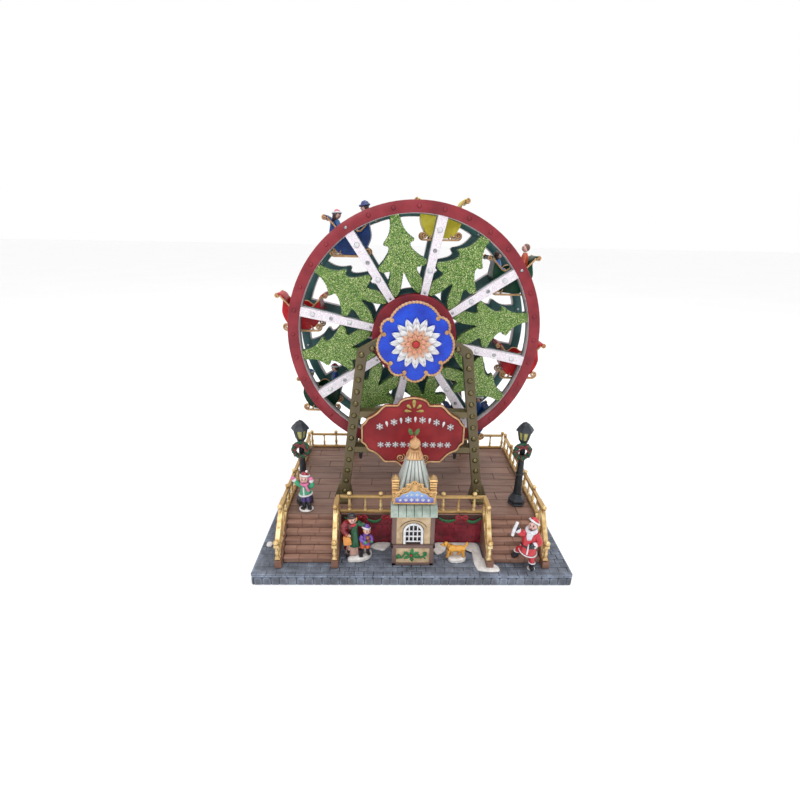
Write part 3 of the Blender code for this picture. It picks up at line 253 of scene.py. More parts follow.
def base_edge():
    """The edge: along goes round the base, up rises through a row of arched blocks to a lip of small stones."""
    corner, count = BASE["corner"], 1180
    half, deep = BASE["half"], BASE["deep"]
    straight = 2 * (half - corner), deep - 2 * corner
    bend = math.pi / 2 * corner
    total = 2 * sum(straight) + 4 * bend
    run = np.linspace(0, total, count, endpoint=False)
    corners = np.cumsum([0, straight[0], bend, straight[1], bend, straight[0], bend, straight[1], bend])
    side = np.clip(np.searchsorted(corners, run, side="right") - 1, 0, 7)
    gone = run - corners[side]
    quarter = side // 2
    turn = np.where(side % 2, gone / corner, 0) - math.pi / 2 + quarter * math.pi / 2
    middle = np.array(((half - corner, corner), (half - corner, deep - corner), (corner - half, deep - corner),
                       (corner - half, corner)))
    starts = np.array(((corner - half, 0), (half, corner), (half - corner, deep), (-half, deep - corner)))
    heading = np.array(((1, 0), (0, 1), (-1, 0), (0, -1)))[quarter]
    out = np.stack((np.cos(turn), np.sin(turn)), -1)
    place = np.where((side % 2 == 0)[:, None], starts[quarter] + heading * gone[:, None],
                     middle[quarter] + corner * out)
    up = np.concatenate((np.linspace(0, 9.0, 13), np.linspace(9.3, BASE["high"] - BASE["lip"], 5)))
    along, level = np.meshgrid(run, up)
    wide, tall, rounding = 8.4, 8.8, 2.4
    from_middle = np.abs((along / wide) % 1 - 0.5) * wide
    sideways = np.maximum(from_middle - (wide / 2 - rounding), 0)
    upwards = np.maximum(level - (tall - rounding), 0)
    edge = rounding - np.hypot(sideways, upwards)
    lip = level > 9.1
    lip_edge, lip_mark = courses(along, np.zeros_like(along) + 1.0, 5.6, 99.0)
    edge = np.where(lip, lip_edge + 0.3, np.maximum(edge, -0.2))
    mark = np.where(lip, lip_mark, random_mark(np.floor(along / wide), 5))
    sunk = 0.55 * (1 - fade(edge, 0.0, 0.8)) + 0.1 * (1 + uneven(along, level, 2.3)) + 0.15 * ~lip
    points = np.stack((place[:, 0] - sunk * out[:, 0], place[:, 1] - sunk * out[:, 1], level), -1)
    brush = 0.3 + 0.6 * fade(uneven(along, level * 3, 13), -0.4, 0.5)
    return skin(points, around=True, tint=stone_tint(edge, mark, np.where(lip, 0.9, brush)), sheet=True)


def underside():
    """The flat foot of the base: a fan of cells from the middle out to its edge."""
    turn = np.linspace(0, -2 * math.pi, 64, endpoint=False)
    reach = np.minimum(BASE["half"] / np.maximum(np.abs(np.cos(turn)), 1e-9),
                       BASE["deep"] / 2 / np.maximum(np.abs(np.sin(turn)), 1e-9)) - 1.2
    reach = np.stack((reach * 0, reach))
    return skin(np.stack((reach * np.cos(turn), BASE["deep"] / 2 + reach * np.sin(turn), reach * 0), -1),
                around=True, sheet=True)


slate = painted("slate_paint", (86, 91, 101), (102, 108, 120), (120, 128, 142), size=11,
                rough=(0.6, 0.85), grain=0.7, bump=0.1, tinted=True)
piece("stone_base", [base_top(), base_edge(), underside()], slate, "stand", ["base_plate"])

# Plank deck and the brick wall under it
# The deck is moulded as eleven courses of boards, butted end to end, on a wall of dark red painted bricks.
# Each board is its own rounded length with its own tone; the grain runs along it.
DECK = {"half": 138.5, "front": 48.6, "back": 209.0, "top": 49.5}
ON_DECK = 49.8
BOARD = {"courses": 11, "long": 63.0, "thick": 2.0, "end_gap": 0.22, "side_gap": 0.25}
WALL = {"half": 132.0, "front": 49.6, "back": 203.0, "low": ON_BASE, "high": 43.6}


def slab(outline, low, high, lie="front", tint=None):
    """An outline carried straight from low to high: (x, z) pairs carried in depth, or (depth, z) pairs carried
    across when it lies on its side."""
    a, b = np.asarray(outline, float).T
    faces = {"front": lambda k: (a, k, b), "side": lambda k: (k, a, b)}[lie]
    points = np.concatenate([np.stack(faces(np.full_like(a, k)), -1) for k in (low, high)])
    count = len(a)
    this = np.arange(count)
    after = (this + 1) % count
    sides = np.stack((this, after, after + count, this + count), -1).ravel()
    corners = np.concatenate((this[::-1], this + count, sides))
    sizes = np.array([count, count] + [4] * count)
    tint = None if tint is None else np.broadcast_to(tint, points.shape)
    return {"at": points, "corners": corners, "sizes": sizes, "tint": tint, "sheet": False}


def bar(x, depth, height, tint=None):
    """A straight bar given by its (low, high) in all three directions."""
    outline = [(x[0], height[0]), (x[1], height[0]), (x[1], height[1]), (x[0], height[1])]
    return slab(outline, *depth, tint=tint)


def boards():
    """Each course starts its joints further along than the last, and each board is its own shade."""
    made, half, top = [], DECK["half"], DECK["top"]
    deep = (DECK["back"] - DECK["front"]) / BOARD["courses"]
    end_gap, side_gap = BOARD["end_gap"], BOARD["side_gap"]
    for row in range(BOARD["courses"]):
        near = DECK["front"] + row * deep
        shift = (0.37 * row % 1 - 1) * BOARD["long"]
        ends = [-half] + [x for x in shift - half + BOARD["long"] * np.arange(1, 7) if abs(x) < half - 6]
        for number, (left, right) in enumerate(zip(ends, ends[1:] + [half])):
            tone = 0.86 + 0.28 * float(random_mark(row, number))
            made.append(bar((left + end_gap, right - end_gap), (near + side_gap, near + deep - side_gap),
                            (top - BOARD["thick"], top), (tone, tone, tone)))
    return made


plank = painted("plank_paint", (129, 95, 81), (143, 109, 94), (153, 120, 104), size=5,
                stretch=(7, 1, 1), rough=(0.42, 0.62), grain=0.5, bump=0.07, wash_and_shade=(62, 34, 30),
                wash_and_shade_reach=1.1, tinted=True)
piece("deck_boards", boards(), plank, "stand", ["deck"], bevel=0.35)
under = painted("joint_paint", (60, 34, 30), (70, 42, 35), (84, 54, 44), size=7, rough=(0.6, 0.8),
                wash_and_shade=(45, 25, 22))
edge = bar((-DECK["half"] + 0.1, DECK["half"] - 0.1), (DECK["front"] + 0.1, DECK["back"] - 0.1),
           (43.9, DECK["top"] - 0.7))
piece("deck_edge", [edge], under, "stand", bevel=0.3)


def brick_face(start, end, out):
    """One face of the wall, along from start to end: joints sink and each brick stands its own height."""
    start, end = np.array(start, float), np.array(end, float)
    length = np.linalg.norm(end - start)
    along, level = np.meshgrid(np.linspace(0, length, int(length / 0.75)),
                               np.linspace(WALL["low"], WALL["high"], 42))
    edge, mark = courses(along, level - WALL["low"] + 0.4, 10.2, 4.6)
    sunk = 0.4 * (1 - fade(edge, 0.1, 0.5)) + 0.16 * mark + 0.05 * uneven(along, level, 1.9)
    place = start + (along / length)[..., None] * (end - start)
    points = np.concatenate((place - sunk[..., None] * np.array(out), level[..., None]), -1)
    tone = (0.42 + 0.58 * fade(edge, 0.05, 0.45)) * (0.8 + 0.4 * mark)
    return skin(points, tint=tone[..., None] * np.ones(3), sheet=True)


brick = painted("brick_paint", (112, 24, 40), (144, 36, 54), (168, 52, 68), size=14,
                rough=(0.34, 0.55), grain=0.6, bump=0.06, tinted=True)
corners = [(-WALL["half"], WALL["front"]), (WALL["half"], WALL["front"]), (WALL["half"], WALL["back"]),
           (-WALL["half"], WALL["back"])]
looks = [(0, -1), (1, 0), (0, 1), (-1, 0)]
wall = [brick_face(*side) for side in zip(corners, corners[1:] + corners[:1], looks)]
piece("brick_wall", wall, brick, "stand", ["brick_plinth"])

# Standing frames
# Two bent straps of cast metal on each side of the wheel, braced by two channel bars and carried on flared
# feet. They are painted bronze, worn to brass along the edges, with a row of round brass rivets up each strap.
FRAME_Y, MIDDLE_Y, HUB_Z = 76.0, 138.5, 227.5
STRAP = {"foot": 75.0, "elbow": (52.5, 217.5), "end": (16.0, 241.0), "wide": 10.0, "deep": 8.0}
CHANNELS = ((148.5, 155.2), (107.8, 114.4))


def behind(shapes):
    """Copies of shapes as seen in a mirror that stands on the wheel's middle, to face the back."""
    return [{**s, "at": s["at"] * (1, -1, 1) + (0, 2 * MIDDLE_Y, 0)} for s in shapes]


def turned(profile, centre, sides=16, lie="up", start=0.0, tint=None, flute=0.0, flutes=0):
    """(radius, height) pairs turned about an axis that points up, to the front or to the back; flute presses
    a number of waves into the radius. Both ends are closed."""
    r, h = np.asarray(profile, float).T
    r, h = np.concatenate(([0], r, [0])), np.concatenate((h[:1], h, h[-1:]))
    a = np.radians(start) + np.linspace(0, 2 * math.pi, sides, endpoint=False)
    reach = r[:, None] * (1 + flute * np.cos(flutes * a))[None]
    up = np.broadcast_to(h[:, None], reach.shape)
    c, s = reach * np.cos(a), reach * np.sin(a)
    grid = {"up": (c, s, up), "front": (c, -up, s), "back": (c, up, s)}[lie]
    return skin(np.stack(grid, -1) + np.array(centre, float), around=True, tint=tint)


def swept(path, across, ref=(0, 1, 0), scale=None, loop=False, tint=None):
    """A section of (a, b) pairs carried along a path, a lying square to the path and ref, b along ref as far as
    the path lets it. scale thins it along the way; the ends of an open path are closed to a point."""
    path = np.asarray(path, float)
    along = np.roll(path, -1, 0) - np.roll(path, 1, 0)
    if not loop:
        along[0], along[-1] = path[1] - path[0], path[-1] - path[-2]
    along /= np.linalg.norm(along, axis=1, keepdims=True)
    side = np.cross(along, np.array(ref, float))
    side /= np.linalg.norm(side, axis=1, keepdims=True)
    rise = np.cross(side, along)
    size = np.ones(len(path)) if scale is None else np.asarray(scale, float)
    across = np.asarray(across, float)
    across = np.broadcast_to(across, (len(path),) + across.shape[-2:]) * size[:, None, None]
    grid = path[:, None] + across[..., :1] * side[:, None] + across[..., 1:] * rise[:, None]
    if not loop:
        grid = np.concatenate((np.repeat(path[:1, None], grid.shape[1], 1), grid,
                               np.repeat(path[-1:, None], grid.shape[1], 1)))
    return skin(grid, around=True, along=loop, tint=tint)


def round_section(radius, sides=8, flat=1.0):
    """A circle as (a, b) pairs, pressed in one direction by flat."""
    a = np.linspace(0, 2 * math.pi, sides, endpoint=False)
    return np.stack((radius * np.cos(a), radius * flat * np.sin(a)), -1)


def ball(centre, radii, sides=14, tint=None):
    """A round form with its own radius in each direction."""
    v = np.linspace(-math.pi / 2, math.pi / 2, max(5, sides // 2 + 1))
    u = np.linspace(0, 2 * math.pi, sides, endpoint=False)
    grid = np.stack((np.outer(np.cos(v), np.cos(u)), np.outer(np.cos(v), np.sin(u)),
                     np.broadcast_to(np.sin(v)[:, None], (len(v), sides))), -1)
    grid[0], grid[-1] = (0, 0, -1), (0, 0, 1)
    return skin(grid * np.broadcast_to(radii, 3) + np.array(centre, float), around=True, tint=tint)


def dome(x, y, z, radius, high, sides=12, tint=None):
    """A rivet's round head that rises from a face that looks to the front."""
    a = np.linspace(0, math.pi / 2, 5)
    profile = np.stack((radius * np.cos(a), high * np.sin(a)), -1)
    foot = [(radius * 1.08, -0.3), (radius * 1.08, 0)]
    return turned(foot + list(profile[:-1]), (x, y, z), sides, "front", tint=tint)


def span_on(side, near, far):
    """The (low, high) of a span from near to far on one side of the middle."""
    return sorted((side * near, side * far))


def strap_frame():
    """Each strap is one outline, from its foot to the elbow and on to the arm that reaches for the hub."""
    made, half = [], STRAP["wide"] / 2
    (ex, ez), (ax, az) = STRAP["elbow"], STRAP["end"]
    slope = np.array((ax - ex, az - ez)) / math.hypot(ax - ex, az - ez) * half
    for side in (-1, 1):
        leg = [(STRAP["foot"] + half, ON_DECK), (ex + half, ez + 1.6), (ex + half - 1.2, ez + 3.4),
               (ax - slope[1], az - slope[0]), (ax + slope[1], az + slope[0]), (ex - half, ez - 3),
               (STRAP["foot"] - half, ON_DECK)]
        made.append(slab([(side * x, z) for x, z in leg], FRAME_Y, FRAME_Y + STRAP["deep"]))
        flare = [(9.5, 0), (9.5, 4), (7.6, 9), (4.6, 19), (-6.6, 19), (-8.4, 9), (-9.5, 4), (-9.5, 0)]
        plate = [(side * (STRAP["foot"] + x), ON_DECK + z) for x, z in flare]
        made.append(slab(plate, FRAME_Y + 1.5, FRAME_Y + 9.5))
        toe = span_on(side, STRAP["foot"] - 8.5, STRAP["foot"] + 8.5)
        made.append(bar(toe, (FRAME_Y - 9, FRAME_Y + 12), (ON_DECK, 53.2)))
    for low, high in CHANNELS:
        reach = STRAP["foot"] + (ex - STRAP["foot"]) * ((low + high) / 2 - ON_DECK) / (ez - ON_DECK)
        made.append(bar((-reach, reach), (FRAME_Y + 0.4, FRAME_Y + 2.4), (low, high)))
        made.append(bar((-reach, reach), (FRAME_Y + 2.2, FRAME_Y + 13), (high - 2, high - 0.1)))
        made.append(bar((-reach, reach), (FRAME_Y + 2.2, FRAME_Y + 13), (low + 0.1, low + 2)))
    made.append(turned([(24, 0), (25, 1), (25, 6.6), (24, 7.6)], (0, FRAME_Y + 0.2, 229), 40, "back"))
    return made


def strap_rivets():
    """Fourteen rivets a side: one on the arm, the rest spaced evenly from the elbow to the foot."""
    up = np.linspace(0, 1, 13)
    spots = [(42.2, 222.0)] + list(zip(52.9 + 20.6 * up, 215.6 - 155.2 * up))
    return [dome(side * x, FRAME_Y, z, 2.75, 1.7, sides=18) for side in (-1, 1) for x, z in spots]


bronze = painted("bronze_paint", (57, 52, 39), (71, 65, 49), (86, 79, 60), size=16,
                 rough=(0.36, 0.52), metal=0.3, grain=0.5, bump=0.05, wash_and_shade=(38, 36, 26), rub_and_highlight=(132, 116, 76))
brass = painted("brass_paint", (84, 76, 50), (110, 100, 68), (144, 132, 92), size=3,
                rough=(0.16, 0.28), metal=0.75, grain=0.4, bump=0.02, wash_and_shade=(44, 42, 28), wash_and_shade_reach=1.0)
for place, copies in (("front", list), ("rear", behind)):
    piece(f"straps_{place}", copies(strap_frame()), bronze, "stand", [f"frame_{place}"],
          bevel=0.5)
    piece(f"strap_rivets_{place}", copies(strap_rivets()), brass, "stand")
peg = [(1.0, 0), (1.6, 0.8), (2.1, 6.2), (2.7, 7.0), (2.7, 8.4)]
pegs = [turned(peg, (x, 80, 99.2), 14) for x in (-55.6, 46.4)]
black = painted("black_paint", (16, 19, 24), (25, 29, 36), (38, 42, 50), size=6, rough=(0.38, 0.52),
                grain=0.5, bump=0.04, rub_and_highlight=(62, 66, 74), specular=0.35)
piece("frame_pegs", pegs + behind(pegs), black, "stand")

# Axle
# A plain steel rod that stands between the hub rings of the two frames. Both wheels and their drum turn on it.
steel = painted("steel_rod", (140, 142, 145), (168, 170, 173), (190, 192, 195), size=3,
                stretch=(1, 8, 1), rough=(0.2, 0.35), metal=0.95, grain=0.3, bump=0.01)
rod = [turned([(4.4, 84.3), (5, 84.9), (5, 192.1), (4.4, 192.7)], (0, 0, HUB_Z), 24, "back")]
piece("axle_rod", rod, steel, "stand", ["axle"])

# Name board
# A shaped board pegged to the front bars, painted deep red inside a raised gold border with a fine dark shadow
# line. Its face carries a palmette, two scrolls and rows of small white snow crystals.
BOARD_Y = 72.0
BOARD_HALF = ((16.3, 164.2), (29.1, 164.4), (32.2, 162.0), (37.5, 155.9), (42.4, 152.2), (46.6, 149.9),
              (48.4, 148.4), (49.3, 146.2), (51.2, 143.6), (54.2, 141), (54.2, 121.2), (51.6, 119.6),
              (50.2, 118.1), (48.8, 114.6), (46.8, 112.1), (41, 109.7), (37.8, 107.4), (35, 104.2), (30, 98.2),
              (17.4, 98.3), (15.4, 96.8), (13.4, 94.4), (9.4, 92.0), (4.6, 90.9), (0, 90.5))


def evened(points, step, loop=True):
    """Points spaced evenly, step millimetres apart, along a line through the given ones."""
    points = np.asarray(points, float)
    if loop:
        points = np.concatenate((points, points[:1]))
    gone = np.concatenate(([0], np.cumsum(np.linalg.norm(np.diff(points, axis=0), axis=1))))
    count = max(4, int(gone[-1] / step))
    spots = np.linspace(0, gone[-1], count, endpoint=not loop)
    return np.stack([np.interp(spots, gone, column) for column in points.T], -1)


def softened(points, times=2, loop=True):
    """Corners eased: each point moves to the mean of itself and its neighbours, a few times."""
    points = np.array(points, float)
    for _ in range(times):
        eased = (np.roll(points, 1, 0) + 2 * points + np.roll(points, -1, 0)) / 4
        points = eased if loop else np.concatenate((points[:1], eased[1:-1], points[-1:]))
    return points


def drawn_in(outline, by):
    """A closed outline moved inwards by a distance, square to its own line."""
    along = np.roll(outline, -1, 0) - np.roll(outline, 1, 0)
    along /= np.linalg.norm(along, axis=1, keepdims=True)
    inward = np.stack((along[:, 1], -along[:, 0]), -1)
    area = np.sum(outline[:, 0] * np.roll(outline[:, 1], -1) - outline[:, 1] * np.roll(outline[:, 0], -1))
    return outline - np.sign(area) * inward * by


def at_depth(outline, y):
    """(x, z) pairs set at one depth."""
    return np.stack((outline[:, 0], np.full(len(outline), y), outline[:, 1]), -1)


def board_outline():
    """The crown is a low round arch; the right half is listed and the left is its mirror image."""
    turn = np.radians(np.arange(0, 90, 9))
    crown = np.stack((16.3 * np.sin(turn), 164.2 + 8.6 * np.cos(turn)), -1)
    half = np.concatenate((crown, BOARD_HALF))
    return softened(evened(np.concatenate((half, (half * (-1, 1))[-2:0:-1])), 0.9), 2)


def faced(x, y, z, across, out, up, tilt):
    """Points given across, behind and up a face that looks to the front, tilted clockwise about (x, y, z)."""
    c, s = math.cos(math.radians(tilt)), math.sin(math.radians(tilt))
    return np.stack((x + across * c + up * s, y + out, z + up * c - across * s), -1)


def leaf(x, y, z, long, wide, tilt, thick=0.7):
    """A petal: a ball drawn out to a point at its foot, lying on a face that looks to the front."""
    v = np.linspace(0, math.pi, 11)
    u = np.linspace(0, 2 * math.pi, 12, endpoint=False)
    width = np.sin(v) * (1 + 0.61 * np.sin((v - 0.5 * math.pi) * 0.9))
    width = width / width.max()
    a = (wide / 2) * width[:, None] * np.cos(u)
    b = np.broadcast_to((-long / 2 * np.cos(v))[:, None], a.shape)
    c = -thick * width[:, None] * np.sin(u)
    return skin(faced(x, y, z, a, c, b, tilt), around=True)


def spiral(x, y, z, start, end, turns, lead, hand=1, count=40):
    """A scroll's line: its radius goes from start to end while it turns, beginning at angle lead."""
    share = np.linspace(0, 1, count)
    radius = end + (start - end) * (1 - share) ** 1.15
    turn = np.radians(lead) + hand * share * turns * 2 * math.pi
    return np.stack((x + radius * np.cos(turn), np.full(count, y), z + radius * np.sin(turn)), -1)


def crystal(x, y, z, reach, thick, turn=0.0):
    """A snow crystal: six tapered arms that cross, each with a pair of short side twigs."""
    made, middle = [], np.array((x, y, z))
    for i in range(6):
        a = math.radians(60 * i + 30 + turn)
        tip = np.array((math.cos(a), 0, math.sin(a))) * reach
        made.append(swept([middle, middle + tip], round_section(thick * 1.5, 6), scale=(1.2, 0.6)))
        for b in (-0.9, 0.9):
            twig = np.array((math.cos(a + b), 0, math.sin(a + b))) * reach * 0.36
            root = middle + tip * 0.52
            made.append(swept([root, root + twig], round_section(thick, 6), scale=(1.0, 0.6)))
    return made


gold = painted("gold_paint", (192, 148, 88), (232, 197, 134), (252, 230, 176), size=9,
               rough=(0.28, 0.4), metal=0.38, grain=0.6, bump=0.02, wash_and_shade=(104, 60, 26), wash_and_shade_reach=1.2)
# Painted shade: the level bars get a darker, browner gold than the posts, and their bright edges are painted
# highlights.
shade_darkened_level_gold = painted("shade_darkened_gold", (110, 80, 47), (136, 104, 63), (168, 134, 83), size=7,
                     rough=(0.32, 0.46), metal=0.34, grain=0.6, bump=0.03, wash_and_shade=(84, 52, 28), wash_and_shade_reach=1.1,
                     rub_and_highlight=(236, 196, 128))
trim = painted("trim_gold", (184, 136, 90), (212, 166, 118), (230, 189, 142), size=6,
               rough=(0.34, 0.5), metal=0.25, grain=0.4, bump=0.02, wash_and_shade=(104, 60, 32), wash_and_shade_reach=1.2)
sign_red = painted("sign_paint", (120, 28, 34), (145, 38, 44), (162, 50, 53), size=30,
                   rough=(0.4, 0.52), grain=1.2, bump=0.02, wash_and_shade=(70, 18, 22), wash_and_shade_reach=1.2, coat=0.05,
                   specular=0.2)
white = painted("white_paint", (206, 208, 214), (228, 228, 232), (242, 242, 244), size=4,
                rough=(0.4, 0.55), grain=0.4, bump=0.03, wash_and_shade=(140, 146, 158), wash_and_shade_reach=0.9)
edge_line = board_outline()
piece("name_board", [slab(edge_line, BOARD_Y + 0.8, BOARD_Y + 3.9)], sign_red, "stand",
      ["sign_board"], bevel=0.4)
border = swept(at_depth(drawn_in(edge_line, 1.0), BOARD_Y + 1.0), round_section(1.0, 10, 1.05), loop=True)
line = swept(at_depth(drawn_in(edge_line, 2.5), BOARD_Y + 0.75), round_section(0.22, 6), loop=True)
scrolls = []
for side in (-1, 1):
    curl = spiral(0.4 + side * 12.9, BOARD_Y + 0.6, 104.0, 5.1, 0.8, 1.9, 60 if side < 0 else 120, side)
    scrolls.append(swept(curl, round_section(0.66, 8), scale=np.linspace(0.9, 1.2, len(curl))))
piece("name_board_border", [border] + scrolls, trim, "stand")
piece("name_board_shadow", [line], painted("shadow_line", (52, 16, 18), (60, 20, 22), (66, 24, 26)),
      "stand")
palmette = [leaf(0.3, BOARD_Y + 0.7, 165.6, 9.4, 3.9, 0)]
for side in (-1, 1):
    palmette.append(leaf(0.5 + side * 5.0, BOARD_Y + 0.7, 162.4, 6.4, 3.4, side * 48))
    palmette.append(leaf(0.5 + side * 6.1, BOARD_Y + 0.7, 157.7, 7.6, 3.1, side * 84))
olive_gold = painted("palmette_gold", (150, 132, 66), (176, 158, 84), (196, 180, 106), size=3,
                     rough=(0.35, 0.5), metal=0.2, wash_and_shade=(92, 60, 34), wash_and_shade_reach=0.8)
piece("name_board_palmette", palmette, olive_gold, "stand")
motif = []
for i, across in enumerate(np.linspace(-34.8, 38.9, 11)):
    lift = 148.2 - 8.1 * ((across - 2) / 36.9) ** 2
    if i % 2 == 0:
        motif += crystal(across, BOARD_Y + 0.6, lift, 3.9, 0.34)
    else:
        motif.append(leaf(across, BOARD_Y + 0.6, lift, 6.6, 2.6, across * 0.4, 0.4))
for i, across in enumerate(np.linspace(-34, 37, 10)):
    motif += crystal(across, BOARD_Y + 0.6, 119.4, 3.6, 0.32, turn=30 * (i % 2))
piece("name_board_crystals", motif, white, "stand")

# Medallion
# A lobed plaque in front of the hub, painted bright blue inside a gold rope whose ends curl in at each notch.
# A carved rosette of many petals fills it: white outside, flesh-pink within, and a red boss at the heart.
PLAQUE_Y, PLAQUE_Z = 71.8, 229.0
LOBES = ((-38, 19, 38.6), (19, 48.5, 38), (48.5, 136.5, 40), (136.5, 165, 38), (165, 220, 38.6),
         (220, 250.5, 39), (250.5, 290, 40.3), (290, 322, 39))
NOTCH = 34.6
PETALS = ((16, 8, 25.4, 9.2, 0.4, 2.4, 0, (232, 232, 236)), (14, 6, 20.6, 8.0, 2.2, 2.8, 12, (240, 240, 243)),
          (12, 4, 15.4, 6.6, 4.2, 2.4, 0, (226, 176, 146)), (9, 2, 10.6, 5.4, 5.8, 1.6, 20, (233, 160, 132)))


def lobed_outline():
    """Each lobe is the arc of a circle through two notches and a higher point halfway between them."""
    points = []
    for start, end, apex in LOBES:
        a, b = math.radians(start), math.radians(end)
        low = NOTCH * np.array((math.cos(a), math.sin(a)))
        high = NOTCH * np.array((math.cos(b), math.sin(b)))
        out = np.array((math.cos((a + b) / 2), math.sin((a + b) / 2)))
        half, rise = np.linalg.norm(high - low) / 2, apex - (low + high) @ out / 2
        radius = (half ** 2 + rise ** 2) / (2 * rise)
        centre = out * (apex - radius)
        first = math.atan2(*(low - centre)[::-1])
        last = math.atan2(*(high - centre)[::-1])
        last += 2 * math.pi * (last < first)
        turn = np.linspace(first, last, 24, endpoint=False)
        points.append(centre + radius * np.stack((np.cos(turn), np.sin(turn)), -1))
    return evened(np.concatenate(points), 0.8) + (0, PLAQUE_Z)


def rope(path, radius, lay, loop=False):
    """Two strands laid together: the section is pinched in the middle, and turns as it goes, once every lay."""
    path = np.asarray(path, float)
    gone = np.concatenate(([0], np.cumsum(np.linalg.norm(np.diff(path, axis=0), axis=1))))
    if loop:
        total = gone[-1] + np.linalg.norm(path[-1] - path[0])
        lay = total / max(1, round(total / lay))
    a = np.linspace(0, 2 * math.pi, 12, endpoint=False)
    reach = radius * (1 + 0.3 * np.cos(2 * (a[None] - math.pi * gone[:, None] / lay)))
    return swept(path, np.stack((reach * np.cos(a), reach * np.sin(a)), -1), loop=loop)


def capped(grid):
    """A tube of rings whose first and last ring are each drawn together at their middle."""
    ends = [grid[k].mean(0, keepdims=True).repeat(grid.shape[1], 0)[None] for k in (0, -1)]
    return np.concatenate((ends[0], grid, ends[1]))


def petal_ring(count, near, far, wide, lift, tilt, start, tint):
    """A ring of petals seen from the front: each is a pointed cup whose tip leans out by tilt."""
    made = []
    s, t = np.meshgrid(np.linspace(0, 1, 9), np.linspace(-1, 1, 9), indexing="ij")
    width = np.sin(np.pi * (0.12 + 0.88 * s) ** 0.9) ** 0.7 * (1 - 0.25 * s)
    for i in range(count):
        turn = math.radians(start) + 2 * math.pi * i / count
        r = near + (far - near) * s
        side = wide / 2 * width * t
        up = lift + tilt * np.sin(s * math.pi * 0.62) - 0.9 * t * t * width - 0.5 * (1 - np.abs(t)) ** 4
        top = np.stack((r * math.cos(turn) - side * math.sin(turn), PLAQUE_Y - up,
                        PLAQUE_Z + r * math.sin(turn) + side * math.cos(turn)), -1)
        under = top + (0, 0.9, 0)
        made.append(skin(capped(np.concatenate((top, under[:, ::-1]), 1)), around=True, tint=tint))
    return made


plaque = lobed_outline()
enamel = painted("plaque_blue", (2, 48, 182), (3, 66, 210), (8, 84, 230), size=16,
                 rough=(0.25, 0.38), grain=1.4, bump=0.015, wash_and_shade=(14, 38, 140), wash_and_shade_reach=1.6, coat=0.15,
                 specular=0.35)
piece("medallion_plaque", [slab(plaque, PLAQUE_Y + 0.9, FRAME_Y - 0.3)], enamel, "stand",
      ["medallion"], bevel=0.4)
cord_line = at_depth(drawn_in(plaque, 1.0), PLAQUE_Y + 1.0)
curls = []
for _, degrees, _ in LOBES:
    a = math.radians(degrees)
    x, z = (NOTCH - 3.0) * math.cos(a), PLAQUE_Z + (NOTCH - 3.0) * math.sin(a)
    coil = spiral(x, PLAQUE_Y + 0.4, z, 1.9, 0.2, 1.6, degrees, 1, 26)
    curls.append(swept(coil, round_section(0.85, 8), scale=np.linspace(0.9, 1.1, len(coil))))
piece("medallion_rope", [rope(cord_line, 1.15, 3.4, loop=True)] + curls, trim, "stand")
rosette = []
for *sizes, colour in PETALS:
    rosette += petal_ring(*sizes, shade(*colour))
rosette.append(dome(0, PLAQUE_Y - 6.0, PLAQUE_Z, 3.6, 2.2, sides=20, tint=shade(190, 36, 40)))
for i in range(10):
    a = 2 * math.pi * i / 10
    rosette.append(ball((4.9 * math.cos(a), PLAQUE_Y - 6.9, PLAQUE_Z + 4.9 * math.sin(a)), 0.95, 10,
                        shade(206, 164, 98)))
tinted = painted("figure_paint", (238.6,) * 3, (255,) * 3, (261.6,) * 3, size=3, rough=(0.42, 0.6),
                 grain=0.5, bump=0.04, wash_and_shade=(70, 52, 50), wash_and_shade_reach=0.9, tinted=True)
piece("medallion_rosette", rosette, tinted, "stand", sharp=60)

# Wheel
# Two open wheels cast in one piece each, front and back, on one drum. Outside, the rim and hub are maroon, the
# spokes pearly white and the eight fir trees thick with green glitter; inside, everything is sprayed dark teal.
RIM = {"inner": 119.7, "outer": 131.0, "rear_outer": 128.0, "front": 105.0, "thick": 12.0}
HUB_RADIUS, FIRST_ARM, ARMS, RIM_RIVETS = 44.0, 33.0, 8, 32
ARM_TURN, HALF_TURN = 360 / ARMS, 180 / ARMS
TREE = ((0.8, 121.4), (4.2, 121), (4.7, 117), (5.2, 112), (6.2, 108), (7.9, 103.9), (10.1, 100.7), (12.4, 98.2),
        (15.4, 95.4), (15.0, 93.6), (11.6, 93.0), (10.4, 91.6), (10.8, 88.6), (12.6, 85.2), (15.7, 81.7),
        (19.6, 77.6), (24.6, 73.9), (24.2, 71.0), (20.9, 68.6), (16.2, 68.8), (13.1, 68.4), (13.4, 65.2),
        (15.2, 60.6), (17.4, 56), (16.2, 50.4), (13.8, 44.4), (11.6, 42.7), (8.8, 46.0), (5.7, 50.2),
        (3.2, 57.4), (0.6, 65.8))


def spun(shapes, degrees):
    """Copies of shapes turned about the wheel's axle, anticlockwise as seen from the front."""
    turn = math.radians(degrees)
    spin = np.array(((math.cos(turn), 0, math.sin(turn)), (0, 1, 0), (-math.sin(turn), 0, math.cos(turn))))
    centre = np.array((0, 0, HUB_Z))
    return [{**s, "at": (s["at"] - centre) @ spin + centre} for s in shapes]


def hooped(section, x, z, sides):
    """A closed section of (radius, depth) pairs carried once round a line that points to the front."""
    radius, depth = np.array(section).T
    turn = np.linspace(0, 2 * math.pi, sides, endpoint=False)
    grid = np.stack((x + np.outer(radius, np.cos(turn)), np.broadcast_to(depth[:, None], (len(radius), sides)),
                     z + np.outer(radius, np.sin(turn))), -1)
    return skin(grid, around=True, along=True)


